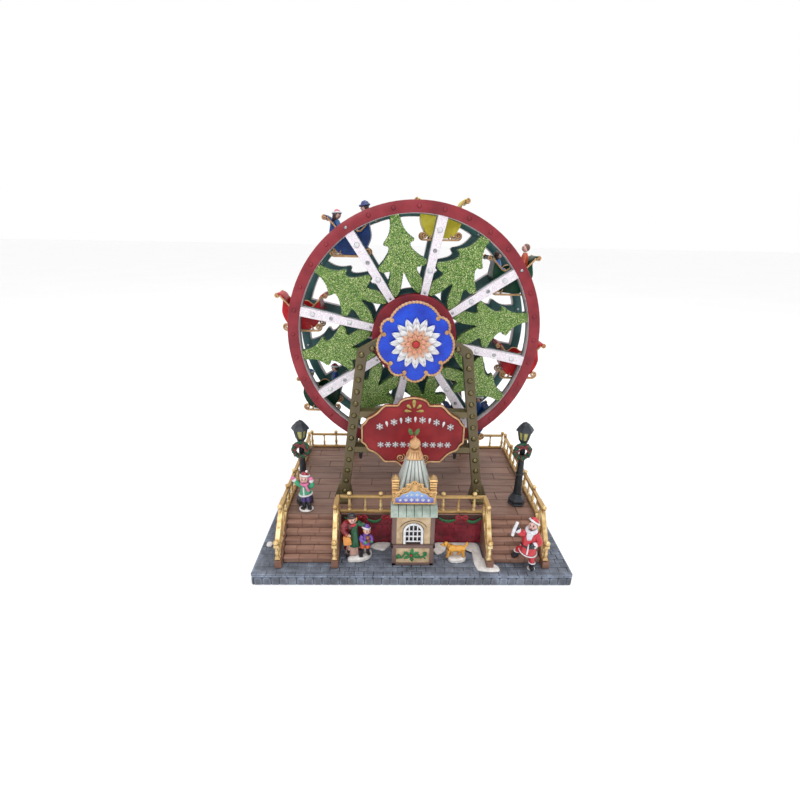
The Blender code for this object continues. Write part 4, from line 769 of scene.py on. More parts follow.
def band(inner, outer, near, far, round_by=0.7):
    """A ring about the axle: its rectangular section, with eased corners, goes once round."""
    r = round_by
    section = [(inner + r, near), (outer - r, near), (outer - 0.3 * r, near + 0.3 * r), (outer, near + r),
               (outer, far - r), (outer - 0.3 * r, far - 0.3 * r), (outer - r, far), (inner + r, far),
               (inner + 0.3 * r, far - 0.3 * r), (inner, far - r), (inner, near + r),
               (inner + 0.3 * r, near + 0.3 * r)]
    return hooped(section, 0, HUB_Z, 120)


def tree_outline(grow=0.0):
    """A fir in profile with its top at the rim and two roots at the hub; its edge is a little ragged."""
    half = np.array(TREE)
    whole = evened(np.concatenate((half, (half * (-1, 1))[::-1])), 0.9)
    whole = softened(whole, 2)
    run = np.arange(len(whole))
    ragged = 0.22 * np.sin(run * 1.9) + 0.18 * np.sin(run * 3.1 + 1)
    return drawn_in(whole, ragged[:, None] - grow) + (0, HUB_Z)


def spoke_outline(grow=0.0):
    """A flat tapered spoke from the hub to the rim."""
    return [(4.9 + grow, HUB_Z + 120.4), (-4.9 - grow, HUB_Z + 120.4), (-3.8 - grow, HUB_Z + 43),
            (3.8 + grow, HUB_Z + 43)]


def around_wheel(shapes, start=0.0):
    """Shapes made upright over the axle, repeated at the arms, start degrees past the first arm."""
    return [s for i in range(ARMS) for s in spun(shapes, FIRST_ARM + start + ARM_TURN * i - 90)]


def on_rim(radius, degrees, at_radius, y):
    """Round heads on a face of the wheel, at one distance from the axle."""
    return [dome(at_radius * math.cos(a), y, HUB_Z + at_radius * math.sin(a), radius, 0.9, 10)
            for a in np.radians(degrees)]


def glitter(name, low, middle, high, glint_fleck, size=0.46, rough=(0.12, 0.5), tilt=0.3):
    """Glitter laid thickly in clear glue: small flat cells, each with its own tone and its own tilt. The palest
    cells are metallic flakes painted near white, which also stands for a painted glint.
    """
    finish = painted(name, low, middle, high, size=1.7, rough=rough, grain=0.5, bump=0.0)
    shader = finish.node_tree.nodes["Principled BSDF"]
    place = node(finish, "TexCoord").outputs["Object"]
    cells = node(finish, "TexVoronoi", {"Vector": place, "Scale": 1000 / size}, feature="F1")
    mark = node(finish, "SeparateColor", {0: cells.outputs["Color"]})
    base = shader.inputs["Base Color"].links[0].from_socket
    colour = blended(finish, ranged(finish, mark.outputs[0], 0.0, 1.0, 0.0, 0.9), base, shade(*low))
    colour = blended(finish, ranged(finish, mark.outputs[1], 0.45, 1.0, 0.0, 0.85), colour, shade(*high))
    # The palest cells take the glint colour: metallic flakes and painted glints together.
    colour = blended(finish, ranged(finish, mark.outputs[2], 0.86, 0.9), colour, shade(*glint_fleck))
    links = finish.node_tree.links
    links.new(colour, shader.inputs["Base Color"])
    links.new(ranged(finish, mark.outputs[2], 0.8, 0.95, 0.0, 0.75), shader.inputs["Metallic"])
    relief = node(finish, "Bump", {"Strength": 0.9, "Distance": tilt / 1000, "Height": mark.outputs[0]})
    links.new(relief.outputs[0], shader.inputs["Normal"])
    return finish


maroon = painted("wheel_maroon", (123, 33, 45), (146, 43, 54), (161, 56, 66), size=26,
                 rough=(0.36, 0.5), grain=0.6, bump=0.03, wash_and_shade=(82, 16, 30), wash_and_shade_reach=1.4, coat=0.05,
                 specular=0.3)
hub_red = painted("hub_red", (110, 19, 31), (132, 26, 40), (150, 39, 52), size=22,
                  rough=(0.36, 0.5), grain=0.6, bump=0.03, wash_and_shade=(74, 16, 26), coat=0.05, specular=0.3)
pearl = glitter("pearl_glitter", (211, 202, 211), (228, 218, 228), (244, 236, 244), (255, 252, 255),
                size=0.36, rough=(0.3, 0.5), tilt=0.06)
fir = glitter("fir_glitter", (20, 64, 26), (66, 118, 34), (132, 178, 64), (246, 248, 184),
              size=0.4)
teal = painted("teal_spray", (20, 68, 70), (30, 88, 89), (42, 106, 106), size=18, rough=(0.4, 0.6),
               grain=0.6, bump=0.04, wash_and_shade=(10, 36, 40), rub_and_highlight=(90, 120, 120))
pale = painted("pale_edge", (176, 160, 166), (198, 184, 188), (212, 202, 204), size=8,
               rough=(0.45, 0.6), grain=0.5, bump=0.03)
silver = painted("screw_silver", (150, 152, 156), (182, 184, 188), (208, 210, 212), size=2,
                 rough=(0.22, 0.35), metal=0.8, wash_and_shade=(70, 70, 74), wash_and_shade_reach=0.6)
front, inside = RIM["front"], RIM["front"] + RIM["thick"]
spoke = [slab(spoke_outline(), front + 1.0, inside - 1.6)]
tree = [slab(tree_outline(), front + 2.2, inside - 1.8)]
rivet_turns = [78 + 360 / RIM_RIVETS * i for i in range(RIM_RIVETS)]
bright = (33, 123)
for wheel, copies, outer in (("front", list, RIM["outer"]), ("rear", behind, RIM["rear_outer"])):
    mid = (RIM["inner"] + outer) / 2
    if wheel == "front":
        heads = on_rim(2.0, [d for d in rivet_turns if d % 360 not in bright], mid, front)
    else:
        heads = on_rim(2.1, rivet_turns, mid, front)
    rim = [band(RIM["inner"], outer, front, inside - 1.4)]
    piece(f"rim_{wheel}", copies(rim + heads), maroon, "wheel", [f"{wheel}_wheel"])
    hub = turned([(5.4, 0), (41.6, 0), (43.4, 0.4), (44, 1.2), (44, 11.4), (43.4, 12), (5.4, 12)],
                 (0, front - 0.8, HUB_Z), 72, "back")
    piece(f"hub_{wheel}", copies([hub]), hub_red, "wheel")
    domes = [dome(0, front + 1.0, HUB_Z + r, 2.5, 1.1, sides=16) for r in (106.7, 68.3)]
    piece(f"spokes_{wheel}", copies(around_wheel(spoke)), pearl, "wheel", bevel=0.4)
    piece(f"spoke_studs_{wheel}", copies(around_wheel(domes)), white, "wheel")
    piece(f"trees_{wheel}", copies(around_wheel(tree, HALF_TURN)), fir, "wheel", bevel=0.6)
    backing = around_wheel([slab(tree_outline(0.5), inside - 2.0, inside - 0.3)], HALF_TURN)
    backing += around_wheel([slab(spoke_outline(0.6), inside - 1.8, inside - 0.2)])
    backing += [band(RIM["inner"] - 0.8, outer - 0.2, inside - 1.8, inside, 0.3),
                band(6, HUB_RADIUS + 0.6, inside - 1.0, inside + 0.1, 0.3)]
    piece(f"inside_{wheel}", copies(backing), teal, "wheel", bevel=0.25)
    near, far, socket_z = front + 0.5, front + 1.3, HUB_Z + 87.5
    socket = hooped([(1.3, near), (1.3, far), (2.1, far), (2.1, near + 0.25), (1.85, near)], 0, socket_z, 18)
    screws = [dome(0, front + 1.1, socket_z, 1.25, 0.35, 10), dome(0, front + 0.8, HUB_Z + 46.4, 1.3, 0.7)]
    bolts = [turned([(1.5, -0.6), (1.5, 0.5), (1.1, 0.9)], (0, inside, HUB_Z + 123), 6, "back")]
    fixings = around_wheel([socket] + screws) + around_wheel(bolts, HALF_TURN)
    if wheel == "front":
        fixings += on_rim(1.6, bright, mid, front)
    piece(f"wheel_screws_{wheel}", copies(fixings), silver, "wheel")
liner = around_wheel([slab(tree_outline(0.8), front + 2.6, inside - 2.0)], HALF_TURN)
liner += around_wheel([slab(spoke_outline(0.8), front + 1.4, inside - 1.8)])
liner += [band(RIM["inner"] - 0.9, RIM["inner"] + 2, front + 0.6, inside - 1.6, 0.3)]
piece("pale_edges_rear", behind(liner), pale, "wheel")
edge = band(RIM["inner"] - 0.4, RIM["inner"] + 2, front + 1.2, inside - 2.0, 0.3)
piece("pale_edge_front", [edge], pale, "wheel")
half_gap = MIDDLE_Y - inside - 0.5
profile = [(5.4, -half_gap), (12.4, -half_gap), (13, 0.6 - half_gap), (13, half_gap - 0.6), (12.4, half_gap),
           (5.4, half_gap)]
drum = [turned(profile, (0, MIDDLE_Y, HUB_Z), 40, "back", flute=0.012, flutes=20)]
piece("wheel_drum", drum, teal, "wheel", ["hub_drum"])

# Gondolas
# Eight small two-ended sleighs that hang from pins between the wheels. Each is a glossy painted tub with a
# beaded gold edge, on a pair of gold runners that end in open scrolls, tied to the tub with twisted struts.
PIN_CIRCLE, CHEEK_Y = 121.6, 13.4
TUB = ((0, -22.2), (5, -22.1), (9.5, -21.5), (12.9, -19.6), (16.0, -16.0), (18.4, -11.8), (20.0, -7.8),
       (20.9, -3.6), (20.5, 0), (19.8, 3.6), (19.2, 6.8), (19.6, 9.6), (21.0, 12.0), (23.2, 13.6), (25.2, 13.6))
TUB_EDGE = ((0, 4.4), (2.0, 4.2), (3.6, 3.3), (5.2, 1.7), (6.9, 0.5), (9.3, 0), (11.2, 0.9), (12.8, 2.4),
            (16, 6), (19.4, 9.4))
COLOURS = (("green", (8, 42, 27), (12, 58, 38), (20, 74, 50)),
           ("yellow", (200, 184, 46), (226, 210, 66), (240, 226, 92)),
           ("blue", (26, 52, 108), (38, 70, 134), (52, 88, 156)),
           ("red", (156, 18, 28), (190, 30, 38), (208, 46, 52)))


def both_ways(half):
    """A line listed from its middle to the right, with its mirror image before it."""
    half = np.array(half, float)
    return np.concatenate(((half * (-1, 1))[:0:-1], half))


def tub_shapes():
    """The curved floor that rises into both ends, two bulged cheeks, and a rolled lip across each end."""
    curve = softened(evened(both_ways(TUB), 1.3, loop=False), 1, loop=False)
    along = np.gradient(curve, axis=0)
    normal = np.stack((-along[:, 1], along[:, 0]), -1) / np.linalg.norm(along, axis=1, keepdims=True)
    inside = curve + normal * 1.5
    wide = np.array((-1.0, -0.93, -0.5, 0, 0.5, 0.93, 1.0))
    ease = np.array((0.5, 0, 0, 0, 0, 0, 0.5))
    skins = []
    for line, sign in ((curve + normal * 0.1, 1), (inside, -1)):
        y = np.broadcast_to((wide * CHEEK_Y)[None, :], (len(line), 7))
        drawn = line[:, None] + normal[:, None] * (ease * sign)[None, :, None]
        skins.append(np.stack((drawn[..., 0], y, drawn[..., 1]), -1))
    made = [skin(capped(np.concatenate((skins[0], skins[1][:, ::-1]), 1)), around=True)]
    lower = evened(both_ways(TUB[:12]), 1.0, loop=False)
    upper = evened(both_ways(TUB_EDGE), 1.0, loop=False)
    share = np.linspace(0, 1, 50)
    low = np.stack([np.interp(share, np.linspace(0, 1, len(lower)), c) for c in lower.T], -1)
    high = np.stack([np.interp(share, np.linspace(0, 1, len(upper)), c) for c in upper.T], -1)
    t = np.concatenate((np.linspace(0, 1, 9), [1.0, 0.0]))
    mixed = low[:, None] * (1 - t)[None, :, None] + high[:, None] * t[None, :, None]
    upwards = np.sin(np.pi * np.clip(0.12 + 0.8 * t, 0, 1)) ** 0.8
    lengthways = 0.35 + 0.65 * np.sin(np.pi * share)[:, None] ** 0.6
    y = 12.7 + 2.1 * upwards * lengthways
    y[:, -2:] = 12.2
    for side in (-1, 1):
        made.append(skin(capped(np.stack((mixed[..., 0], side * y, mixed[..., 1]), -1)), around=True))
    for end in (-1, 1):
        roll = [(1.3, -13.2), (1.7, -12.8), (1.7, 12.8), (1.3, 13.2)]
        made.append(turned(roll, (end * 25.0, 0, 12.3), 14, "back"))
    return made


def tub_trim():
    """The beaded edge of each cheek, the curls at its tips, the runners with their scrolls and the struts."""
    made = []
    edge = softened(evened(both_ways(TUB_EDGE + ((22.2, 13.0),)), 0.7, loop=False), 2, loop=False)
    for side in (-1, 1):
        made.append(rope(at_depth(edge, side * CHEEK_Y), 0.85, 1.9))
        for end in (-1, 1):
            lead = 105 if end > 0 else 75
            tip = spiral(end * 25.0, side * 13.2, 12.6, 2.5, 0.5, 1.35, lead, -end, 30)
            made.append(swept(tip, round_section(0.75, 8), scale=np.linspace(1.0, 1.15, 30)))
            curl = spiral(end * 17.0, side * 13.8, -19.6, 3.9, 0.6, 1.55, -90, end, 34)
            made.append(swept(curl, round_section(1.0, 8, 1.2), scale=np.linspace(0.95, 1.15, 34)))
            strut = [(end * (8 + 3.4 * s), side * (13.0 + 0.8 * s), -15.4 - 7.2 * s)
                     for s in np.linspace(0, 1, 9)]
            made.append(rope(strut, 0.85, 2.2))
        runner = [(x, side * 13.8, -23.6 - 0.06 * math.cos(x / 6)) for x in np.linspace(-17.4, 17.4, 30)]
        made.append(swept(runner, [(-0.95, -1.2), (0.95, -1.2), (0.95, 1.2), (-0.95, 1.2)]))
    return made


def pin_place(number):
    """Where a gondola's pin stands, as (x, z); the first gondola hangs from the first arm."""
    turn = math.radians(FIRST_ARM + ARM_TURN * (number - 1))
    return PIN_CIRCLE * math.cos(turn), HUB_Z + PIN_CIRCLE * math.sin(turn)


def carried(shapes, x, z):
    """Copies of shapes made about a pin, moved to hang from the pin at (x, z)."""
    return [{**s, "at": s["at"] + (x, MIDDLE_Y, z)} for s in shapes]


tub, tub_gold = tub_shapes(), tub_trim()
knob = [(1.0, -0.6), (1.9, 0), (1.9, 0.8), (1.2, 1.5)]
knobs = [turned(knob, (0, -14.9, 0), 12, "front"), turned(knob, (0, 14.9, 0), 12, "back")]
gloss = {}
for name, low, middle, high in COLOURS:
    gloss[name] = painted(f"tub_{name}", low, middle, high, size=14, rough=(0.34, 0.48),
                          grain=0.8, bump=0.02, coat=0.03, specular=0.2)
for i in range(1, ARMS + 1):
    pin, body, colour = pin_place(i), f"gondola_{i}", COLOURS[(i - 1) % len(COLOURS)][0]
    piece(f"sleigh_{i}", carried(tub, *pin), gloss[colour], body, [body])
    piece(f"sleigh_trim_{i}", carried(tub_gold, *pin), trim, body)
    piece(f"sleigh_pins_{i}", carried(knobs, *pin), black, body)

# Stairs
# Two flights of five boarded steps between solid strings, moulded with the deck and painted the same brown.
# Each step has a rounded nosing, and its tread and riser are laid in short lengths.
STAIR = {"steps": 5, "rise": 6.25, "front": 18.1, "back": 48.3, "inner": 74.8, "outer": 138.2, "string": 6.9,
         "block": 20.8, "climb": 16.5, "head": 49.2}


def flight(side):
    """The steps climb by even rises with wandering joints; a last riser closes the deck's edge."""
    made, rise, run = [], STAIR["rise"], (STAIR["back"] - STAIR["front"]) / STAIR["steps"]
    near, far = STAIR["inner"] + STAIR["string"], STAIR["outer"] - STAIR["string"]
    for step in range(STAIR["steps"]):
        top, y = BASE["high"] + rise * (step + 1), STAIR["front"] + run * step
        tread = (y - 0.7, y + run + 0.3), (top - 1.9, top)
        riser = (y, y + 1.6), (max(top - 6.3, ON_BASE), top - 1.8)
        for row, (deep, high) in enumerate((tread, riser)):
            cuts = (0, 0.3 + 0.09 * ((step + row) % 3), 0.68 + 0.07 * (step % 2), 1)
            cuts = near + (far - near) * np.array(cuts)
            for number, (a, b) in enumerate(zip(cuts, cuts[1:])):
                # Risers (row 1) are laid a little darker than treads: painted shade under the nosings.
                tone = 1.23 + 0.2 * float(random_mark(step, number, row)) - 0.08 * row
                made.append(bar(span_on(side, a + 0.1, b - 0.1), deep, high, (tone, tone, tone)))
    butts = (near, 98.5, 117, far)
    for number, (a, b) in enumerate(zip(butts, butts[1:])):
        # The last riser is darker than the treads too: painted shade under the deck's edge.
        tone = 1.13 + 0.15 * float(random_mark(7, number))
        ends = span_on(side, a + 0.1, b - 0.1)
        made.append(bar(ends, (47.8, 48.5), (43.3, STAIR["head"]), (tone, tone, tone)))
    start, back = STAIR["front"] + 0.6, STAIR["back"]
    core = [(start, ON_BASE)]
    for step in range(STAIR["steps"]):
        core += [(start + run * step, 17 + rise * step), (start + run * (step + 1), 17 + rise * step)]
    core += [(back, 42), (back, ON_BASE)]
    made.append(slab(core, *span_on(side, near - 0.4, far + 0.4), lie="side", tint=(0.5, 0.42, 0.4)))
    string = [(9.5, ON_BASE), (9.5, STAIR["block"]), (STAIR["climb"], STAIR["block"]),
              (back - 0.3, STAIR["head"]), (back - 0.3, ON_BASE)]
    for a, b in ((STAIR["inner"], near), (far, STAIR["outer"])):
        made.append(slab(string, *span_on(side, a, b), lie="side", tint=(0.9, 0.79, 0.71)))
    return made


for side, word in ((-1, "left"), (1, "right")):
    piece(f"stair_boards_{word}", flight(side), plank, "stand", [f"stairs_{word}"], bevel=0.4)

# Railings
# Square cast rails on turned gold balusters, with a ball above every second one. The level rails are painted a
# darker, browner gold as painted shade, with painted highlights on their sharpest edges. The bright stair rails
# slope down to low newel posts on the blocks at the foot of each string.
RAIL = {"bar": 3.5, "broad": 4.8, "thick": 2.7, "seat": 2.4, "top": 70.2, "foot": ON_DECK, "spacing": 33.4,
        "side_x": 134.5, "inner_x": 78.2, "back_x": 131.8, "front_y": 52.0, "back_y": 206.0,
        "upper_y": 33.0, "lower_y": 13.0, "lower_top": 38.6}


def baluster(x, y, low, high):
    """A turned baluster: a foot, a vase, a ring and a slim neck that widens again under the rail."""
    part = np.array(((1.8, 0), (1.8, 0.07), (1.1, 0.12), (1.25, 0.2), (1.55, 0.3), (1.4, 0.4), (1.0, 0.48),
                     (0.9, 0.54), (1.3, 0.58), (0.9, 0.63), (0.95, 0.9), (1.4, 0.94), (1.4, 1)))
    return turned(part * (1, high - low), (x, y, low), 14)


def ball_post(x, y, low, top, fat=1.0):
    """A heavier turned post that passes the rail and ends in a ball on a collar; fat widens the ball."""
    span = top - low
    part = [(2.1, 0), (2.1, 0.08 * span), (1.25, 0.13 * span), (1.5, 0.24 * span), (1.95, 0.36 * span),
            (1.6, 0.48 * span), (1.15, 0.58 * span), (1.7, 0.63 * span), (1.15, 0.68 * span),
            (1.2, 0.93 * span), (1.9, span), (1.9, span + 0.5), (1.1, span + 0.8)]
    turn = np.radians(np.linspace(-62, 90, 9))
    part += [(2.45 * fat * math.cos(a), span + 2.7 + 2.1 * fat * math.sin(a)) for a in turn[:-1]]
    return turned(part + [(0.01, span + 2.7 + 2.1 * fat)], (x, y, low), 16)


def sloped(x, start, end, thick, wide=3.5):
    """A sloping bar from one (depth, height) to another, thick upwards and wide across."""
    outline = [start, end, (end[0], end[1] + thick), (start[0], start[1] + thick)]
    return slab(outline, x - wide / 2, x + wide / 2, lie="side")


def straight_rail(reach, y, spacing):
    """Two level bars, with balusters at the odd half spacings and ball posts at the even ones."""
    half, (foot, top, thick, seat) = RAIL["bar"] / 2, (RAIL[k] for k in ("foot", "top", "thick", "seat"))
    bars = [bar((-reach, reach), (y - half, y + half), (z, z + thick)) for z in (foot, top - thick)]
    spots = [i for i in range(-8, 9) if abs(i * spacing / 2) <= reach + 0.3]
    posts = [ball_post(i * spacing / 2, y, foot + seat, top - 0.3) for i in spots if i % 2 == 0]
    posts += [baluster(i * spacing / 2, y, foot + seat, top - seat) for i in spots if i % 2]
    return [], bars, posts


def over_string(y):
    """The height just above the sloping top of a string, at a depth."""
    slope = (STAIR["head"] - STAIR["block"]) / (STAIR["back"] - STAIR["climb"])
    return STAIR["block"] + slope * (y - STAIR["climb"]) + 0.3


def stair_rail(x, level_end):
    """A level bar at the top, a broad sloping handrail, a thin foot rail along the string, and the posts."""
    upper, lower, top, low_top = (RAIL[k] for k in ("upper_y", "lower_y", "top", "lower_top"))
    half, broad, back = RAIL["bar"] / 2, RAIL["broad"], STAIR["back"]
    level = [bar((x - broad / 2, x + broad / 2), (upper + 0.6, 48.6), (top - 5.4, top)),
             bar((x - half, x + half), (48.2, level_end), (top - 3.5, top))]
    cap_x, cap_y = (x - 2.6, x + 2.6), (lower - 2.6, lower + 2.6)
    bars = [sloped(x, (lower + 0.8, low_top - 4.3), (upper + 1.2, top - 6.2), 4.4, broad),
            sloped(x, (14.5, over_string(STAIR["climb"])), (back, over_string(back) + 0.4), 2.4, 3.5),
            bar(cap_x, cap_y, (low_top - 3.3, low_top + 0.2)), bar(cap_x, cap_y, (21.1, 23.4))]
    posts = [ball_post(x, lower - 1.2, 22.9, low_top + 0.2, 1.15),
             ball_post(x, upper - 1.8, over_string(upper) + 1, top - 2.9, 1.05)]
    for y, lift, head_z in ((23.0, 2, 52), (40.8, 1.5, top - 3), (17.6, 1.6, 42.0), (28.2, 1.6, 55.6)):
        posts.append(baluster(x, y, over_string(y) + lift, head_z))
    return bars, level, posts


def drawn_aside(shapes, newel, corner):
    """The rail as cast: each point slides across by newel at the foot of the stairs, by corner at their head,
    and by less and less from there to the back."""
    depths, slides, made = (RAIL["lower_y"], RAIL["upper_y"], RAIL["back_y"]), (newel, corner, 0), []
    for s in shapes:
        slide = np.interp(s["at"][:, 1], depths, slides)
        made.append({**s, "at": s["at"] + slide[:, None] * (1, 0, 0)})
    return made


def deck_side_rail(x):
    """The outer stair rail, run on along the side of the deck to the back corner."""
    half, end = RAIL["bar"] / 2, RAIL["upper_y"] + 5 * RAIL["spacing"] + 2
    bars, level, posts = stair_rail(x, end)
    level.append(bar((x - half, x + half), (48.8, end), (RAIL["foot"], RAIL["foot"] + RAIL["bar"])))
    for i in range(1, 11):
        y = 51.6 if i == 1 else RAIL["upper_y"] + i * RAIL["spacing"] / 2
        kind = baluster if i % 2 else ball_post
        posts.append(kind(x, y, RAIL["foot"] + 3, RAIL["top"] - (3 if i % 2 else 0.3)))
    return bars, level, posts


rails = {"back": straight_rail(RAIL["back_x"], RAIL["back_y"], RAIL["back_x"] / 4),
         "front": straight_rail(RAIL["inner_x"] - 2.4, RAIL["front_y"], RAIL["spacing"] * 0.99)}
for side, word in ((-1, "left"), (1, "right")):
    rails[word] = deck_side_rail(side * RAIL["side_x"])
    bars, level, posts = stair_rail(side * RAIL["inner_x"], RAIL["front_y"] + 1.75)
    posts.append(baluster(side * RAIL["inner_x"], RAIL["front_y"] - 0.4, 50, RAIL["top"] - 3))
    rails[f"inner_{word}"] = bars, level, posts
for word, slide in (("left", (-0.6, 1.0)), ("right", (-0.8, -1.5)), ("inner_right", (-1.4, -1.5))):
    rails[word] = [drawn_aside(shapes, *slide) for shapes in rails[word]]
covered = {"inner_left": "stair_rail_left", "inner_right": "stair_rail_right"}
for word, (bars, level, posts) in rails.items():
    piece(f"rail_posts_{word}", posts, gold, "stand", [covered.get(word, f"rail_{word}")])
    piece(f"rail_level_{word}", level, shade_darkened_level_gold, "stand", bevel=0.5)
    if bars:
        piece(f"handrail_{word}", bars, gold, "stand", bevel=0.6)

# Street lamps
# Black six-sided lamps cast in one piece, on the deck: a stepped foot, a tapering post with collars, a lantern
# with amber panes and a peaked roof. A wreath of stiff needles, wound with dark red ribbon, hangs on each post.
LAMP = {"x": 117.0, "y": 71.0, "z": ON_DECK}
WREATH = {"y": 65.6, "z": 116.2, "ring": 7.4, "thick": 2.1, "ribbon": 2.75}


def lamp_metal(x):
    """The lantern's cage is six slanted bars between a cup and a roof; all the rest is turned."""
    centre = (x, LAMP["y"], LAMP["z"])
    foot = [(9.0, 0), (9.6, 0.5), (9.6, 1.6), (8.9, 2.2), (8.9, 5.0), (9.5, 5.5), (9.3, 6.5), (6.9, 8.6),
            (6.3, 10.6), (5.6, 11.4)]
    post = [(5.2, 11), (5.4, 11.8), (4.4, 12.8), (4.6, 14), (4.1, 20), (3.5, 35.4), (4.4, 36.2), (4.5, 37.6),
            (3.5, 38.4), (3.4, 40), (3.0, 62), (2.8, 71), (3.6, 72), (3.0, 73), (3.2, 74), (4.4, 75.6)]
    cup = [(3.0, 74.2), (4.6, 76.2), (4.9, 77.2), (4.4, 77.4)]
    roof = [(6.6, 87.6), (9.3, 87.8), (9.6, 88.5), (9.2, 89.3), (7.9, 91.3), (6.4, 93.0), (5.5, 93.8),
            (4.9, 94.7), (4.0, 95.7), (2.4, 96.6), (1.3, 97.2), (0.3, 98)]
    made = [turned(foot, centre, 6), turned(post, centre, 20), turned(cup, centre, 6), turned(roof, centre, 6)]
    for i in range(6):
        a = math.radians(60 * i)
        ends = [np.array(centre) + (r * math.cos(a), r * math.sin(a), h) for r, h in ((4.6, 77.0), (7.1, 88.4))]
        made.append(swept(ends, round_section(0.85, 6)))
    return made


def wreath(x):
    """A ring thick with needles: its radius changes quickly both ways round."""
    u = np.linspace(0, 2 * math.pi, 150, endpoint=False)[:, None]
    v = np.linspace(0, 2 * math.pi, 22, endpoint=False)[None]
    needle = random_mark(np.arange(150)[:, None], np.arange(22)[None])
    reach = WREATH["thick"] + 0.3 * np.sin(u * 24 + 2 * v) * np.cos(3 * v + u * 9) + 0.7 * needle ** 2
    ring = WREATH["ring"] + reach * np.cos(v)
    tone = (0.55 + 0.75 * needle)[..., None] * np.ones(3)
    y = WREATH["y"] + reach * np.sin(v)
    points = np.stack((x + ring * np.cos(u), y, WREATH["z"] + ring * np.sin(u)), -1)
    return [skin(points, around=True, along=True, tint=tone)]


def wreath_ribbon(x):
    """Short turns of ribbon round the ring, and a bow at its upper side with two tails across the middle."""
    made, flat, out = [], round_section(1.0, 8, 0.3), WREATH["ribbon"]
    for degrees in (8, 60, 128, 172, 216, 262, 312):
        a = math.radians(degrees)
        s = np.linspace(-0.5, 0.5, 16)
        turn, tube = a + 0.5 * s, 1.9 * math.pi * s
        ring, y = WREATH["ring"] + out * np.sin(tube * 0.5), WREATH["y"] - out * np.cos(tube * 0.5)
        path = np.stack((x + ring * np.cos(turn), y, WREATH["z"] + ring * np.sin(turn)), -1)
        made.append(swept(path, round_section(0.46, 6), ref=(0.3, 1, 0.2)))
    knot = np.array((x + 0.2, 62.8, 121.8))
    for hand, lift in ((-1, 0.5), (1, -0.1)):
        s = np.linspace(0, 1, 20)
        loop = np.stack((hand * 4.2 * np.sin(math.pi * s), -0.7 * np.sin(2 * math.pi * s),
                         1.7 * np.sin(2 * math.pi * s) + 1.2 * lift * np.sin(math.pi * s)), -1)
        made.append(swept(knot + loop, flat, ref=(0, 1, 0.2)))
        tail = np.stack((hand * 6.4 * s ** 0.8, 0.6 * s + 0.4 * np.sin(5 * s), -7.0 * s ** 1.4), -1)
        made.append(swept(knot + tail, flat, ref=(0, 1, 0.2), scale=1 - 0.3 * s))
    made.append(ball(knot, (1.0, 0.9, 0.9), 10))
    return made


amber = painted("lamp_pane", (158, 152, 78), (184, 178, 100), (204, 198, 124), size=3, rough=(0.2, 0.35),
                grain=0.4, bump=0.01, wash_and_shade=(70, 66, 36), wash_and_shade_reach=0.8)
needles = painted("needle_green", (18, 62, 44), (30, 90, 62), (48, 118, 80), size=1.4, rough=(0.5, 0.7),
                  grain=0.3, bump=0.05, wash_and_shade=(8, 34, 26), wash_and_shade_reach=0.8, tinted=True)
ribbon_red = painted("ribbon_red", (100, 34, 36), (124, 46, 46), (144, 60, 58), size=2,
                     rough=(0.4, 0.55), grain=0.3, bump=0.02, wash_and_shade=(60, 18, 20), wash_and_shade_reach=0.6)
for side, word in ((-1, "left"), (1, "right")):
    piece(f"street_lamp_{word}", lamp_metal(side * LAMP["x"]), black, "stand", [f"lamp_{word}"])
    panes = turned([(4.0, 77.2), (6.4, 88.2)], (side * LAMP["x"], LAMP["y"], LAMP["z"]), 6)
    piece(f"lamp_panes_{word}", [panes], amber, "stand")
    middle = side * LAMP["x"] + (0.6 if side < 0 else -1.8)
    piece(f"wreath_needles_{word}", wreath(middle), needles, "stand", [f"wreath_{word}"],
          sharp=70)
    piece(f"wreath_bow_{word}", wreath_ribbon(middle), ribbon_red, "stand")

# Ticket booth
# A small square booth of tan panels in brown posts, with an arched white window, a boarded awning, a shaped
# board with a gold crest, two ribbed corner turrets and a square pleated silver-green spire with a gold finial.
BOOTH = {"half": 21, "front": 14.0, "back": 48.3, "sill": (34.6, 38), "top": 72.4, "roof": 84.0}
AWNING = {"boards": 6, "wide": 45.4, "gap": 0.16}
ARCH_Z, ARCH_R, ARCH_DROP = 53.4, 9.9, 2.2
HOLLY_X, HOLLY_Z = -1.6, 24.6
SPIRE_Y, SPIRE_LOW, SPIRE_TOP = 32.4, 84.3, 126.3


def arc_points(x, z, radius, start, end, count=17):
    """Points on a circle that faces the front."""
    turn = np.radians(np.linspace(start, end, count))
    return np.stack((x + radius * np.cos(turn), z + radius * np.sin(turn)), -1)


def booth_panels():
    """Tan panels: the front one is cut out round the window, the rest fill between the posts."""
    half, low, top, y, cut = 17.4, 37.5, BOOTH["top"], BOOTH["front"], ARCH_R + 0.3
    head = arc_points(0, ARCH_Z, cut, 180, 0)
    window_wall = [(-half, low), (-cut, low), *head, (cut, low), (half, low), (half, top), (-half, top)]
    eyebrow = np.concatenate([arc_points(0, ARCH_Z - ARCH_DROP, radius, *turn)
                              for radius, turn in ((14.4, (158, 22)), (12.2, (22, 158)))])
    return [slab(window_wall, y + 0.7, y + 3.2), bar((-half, half), (y + 0.7, y + 3), (14, 35)),
            bar((-20.4, 20.4), (y + 3.0, BOOTH["back"] - 0.6), (12.4, BOOTH["roof"] - 0.2)),
            slab(eyebrow, y + 0.35, y + 1.2)]


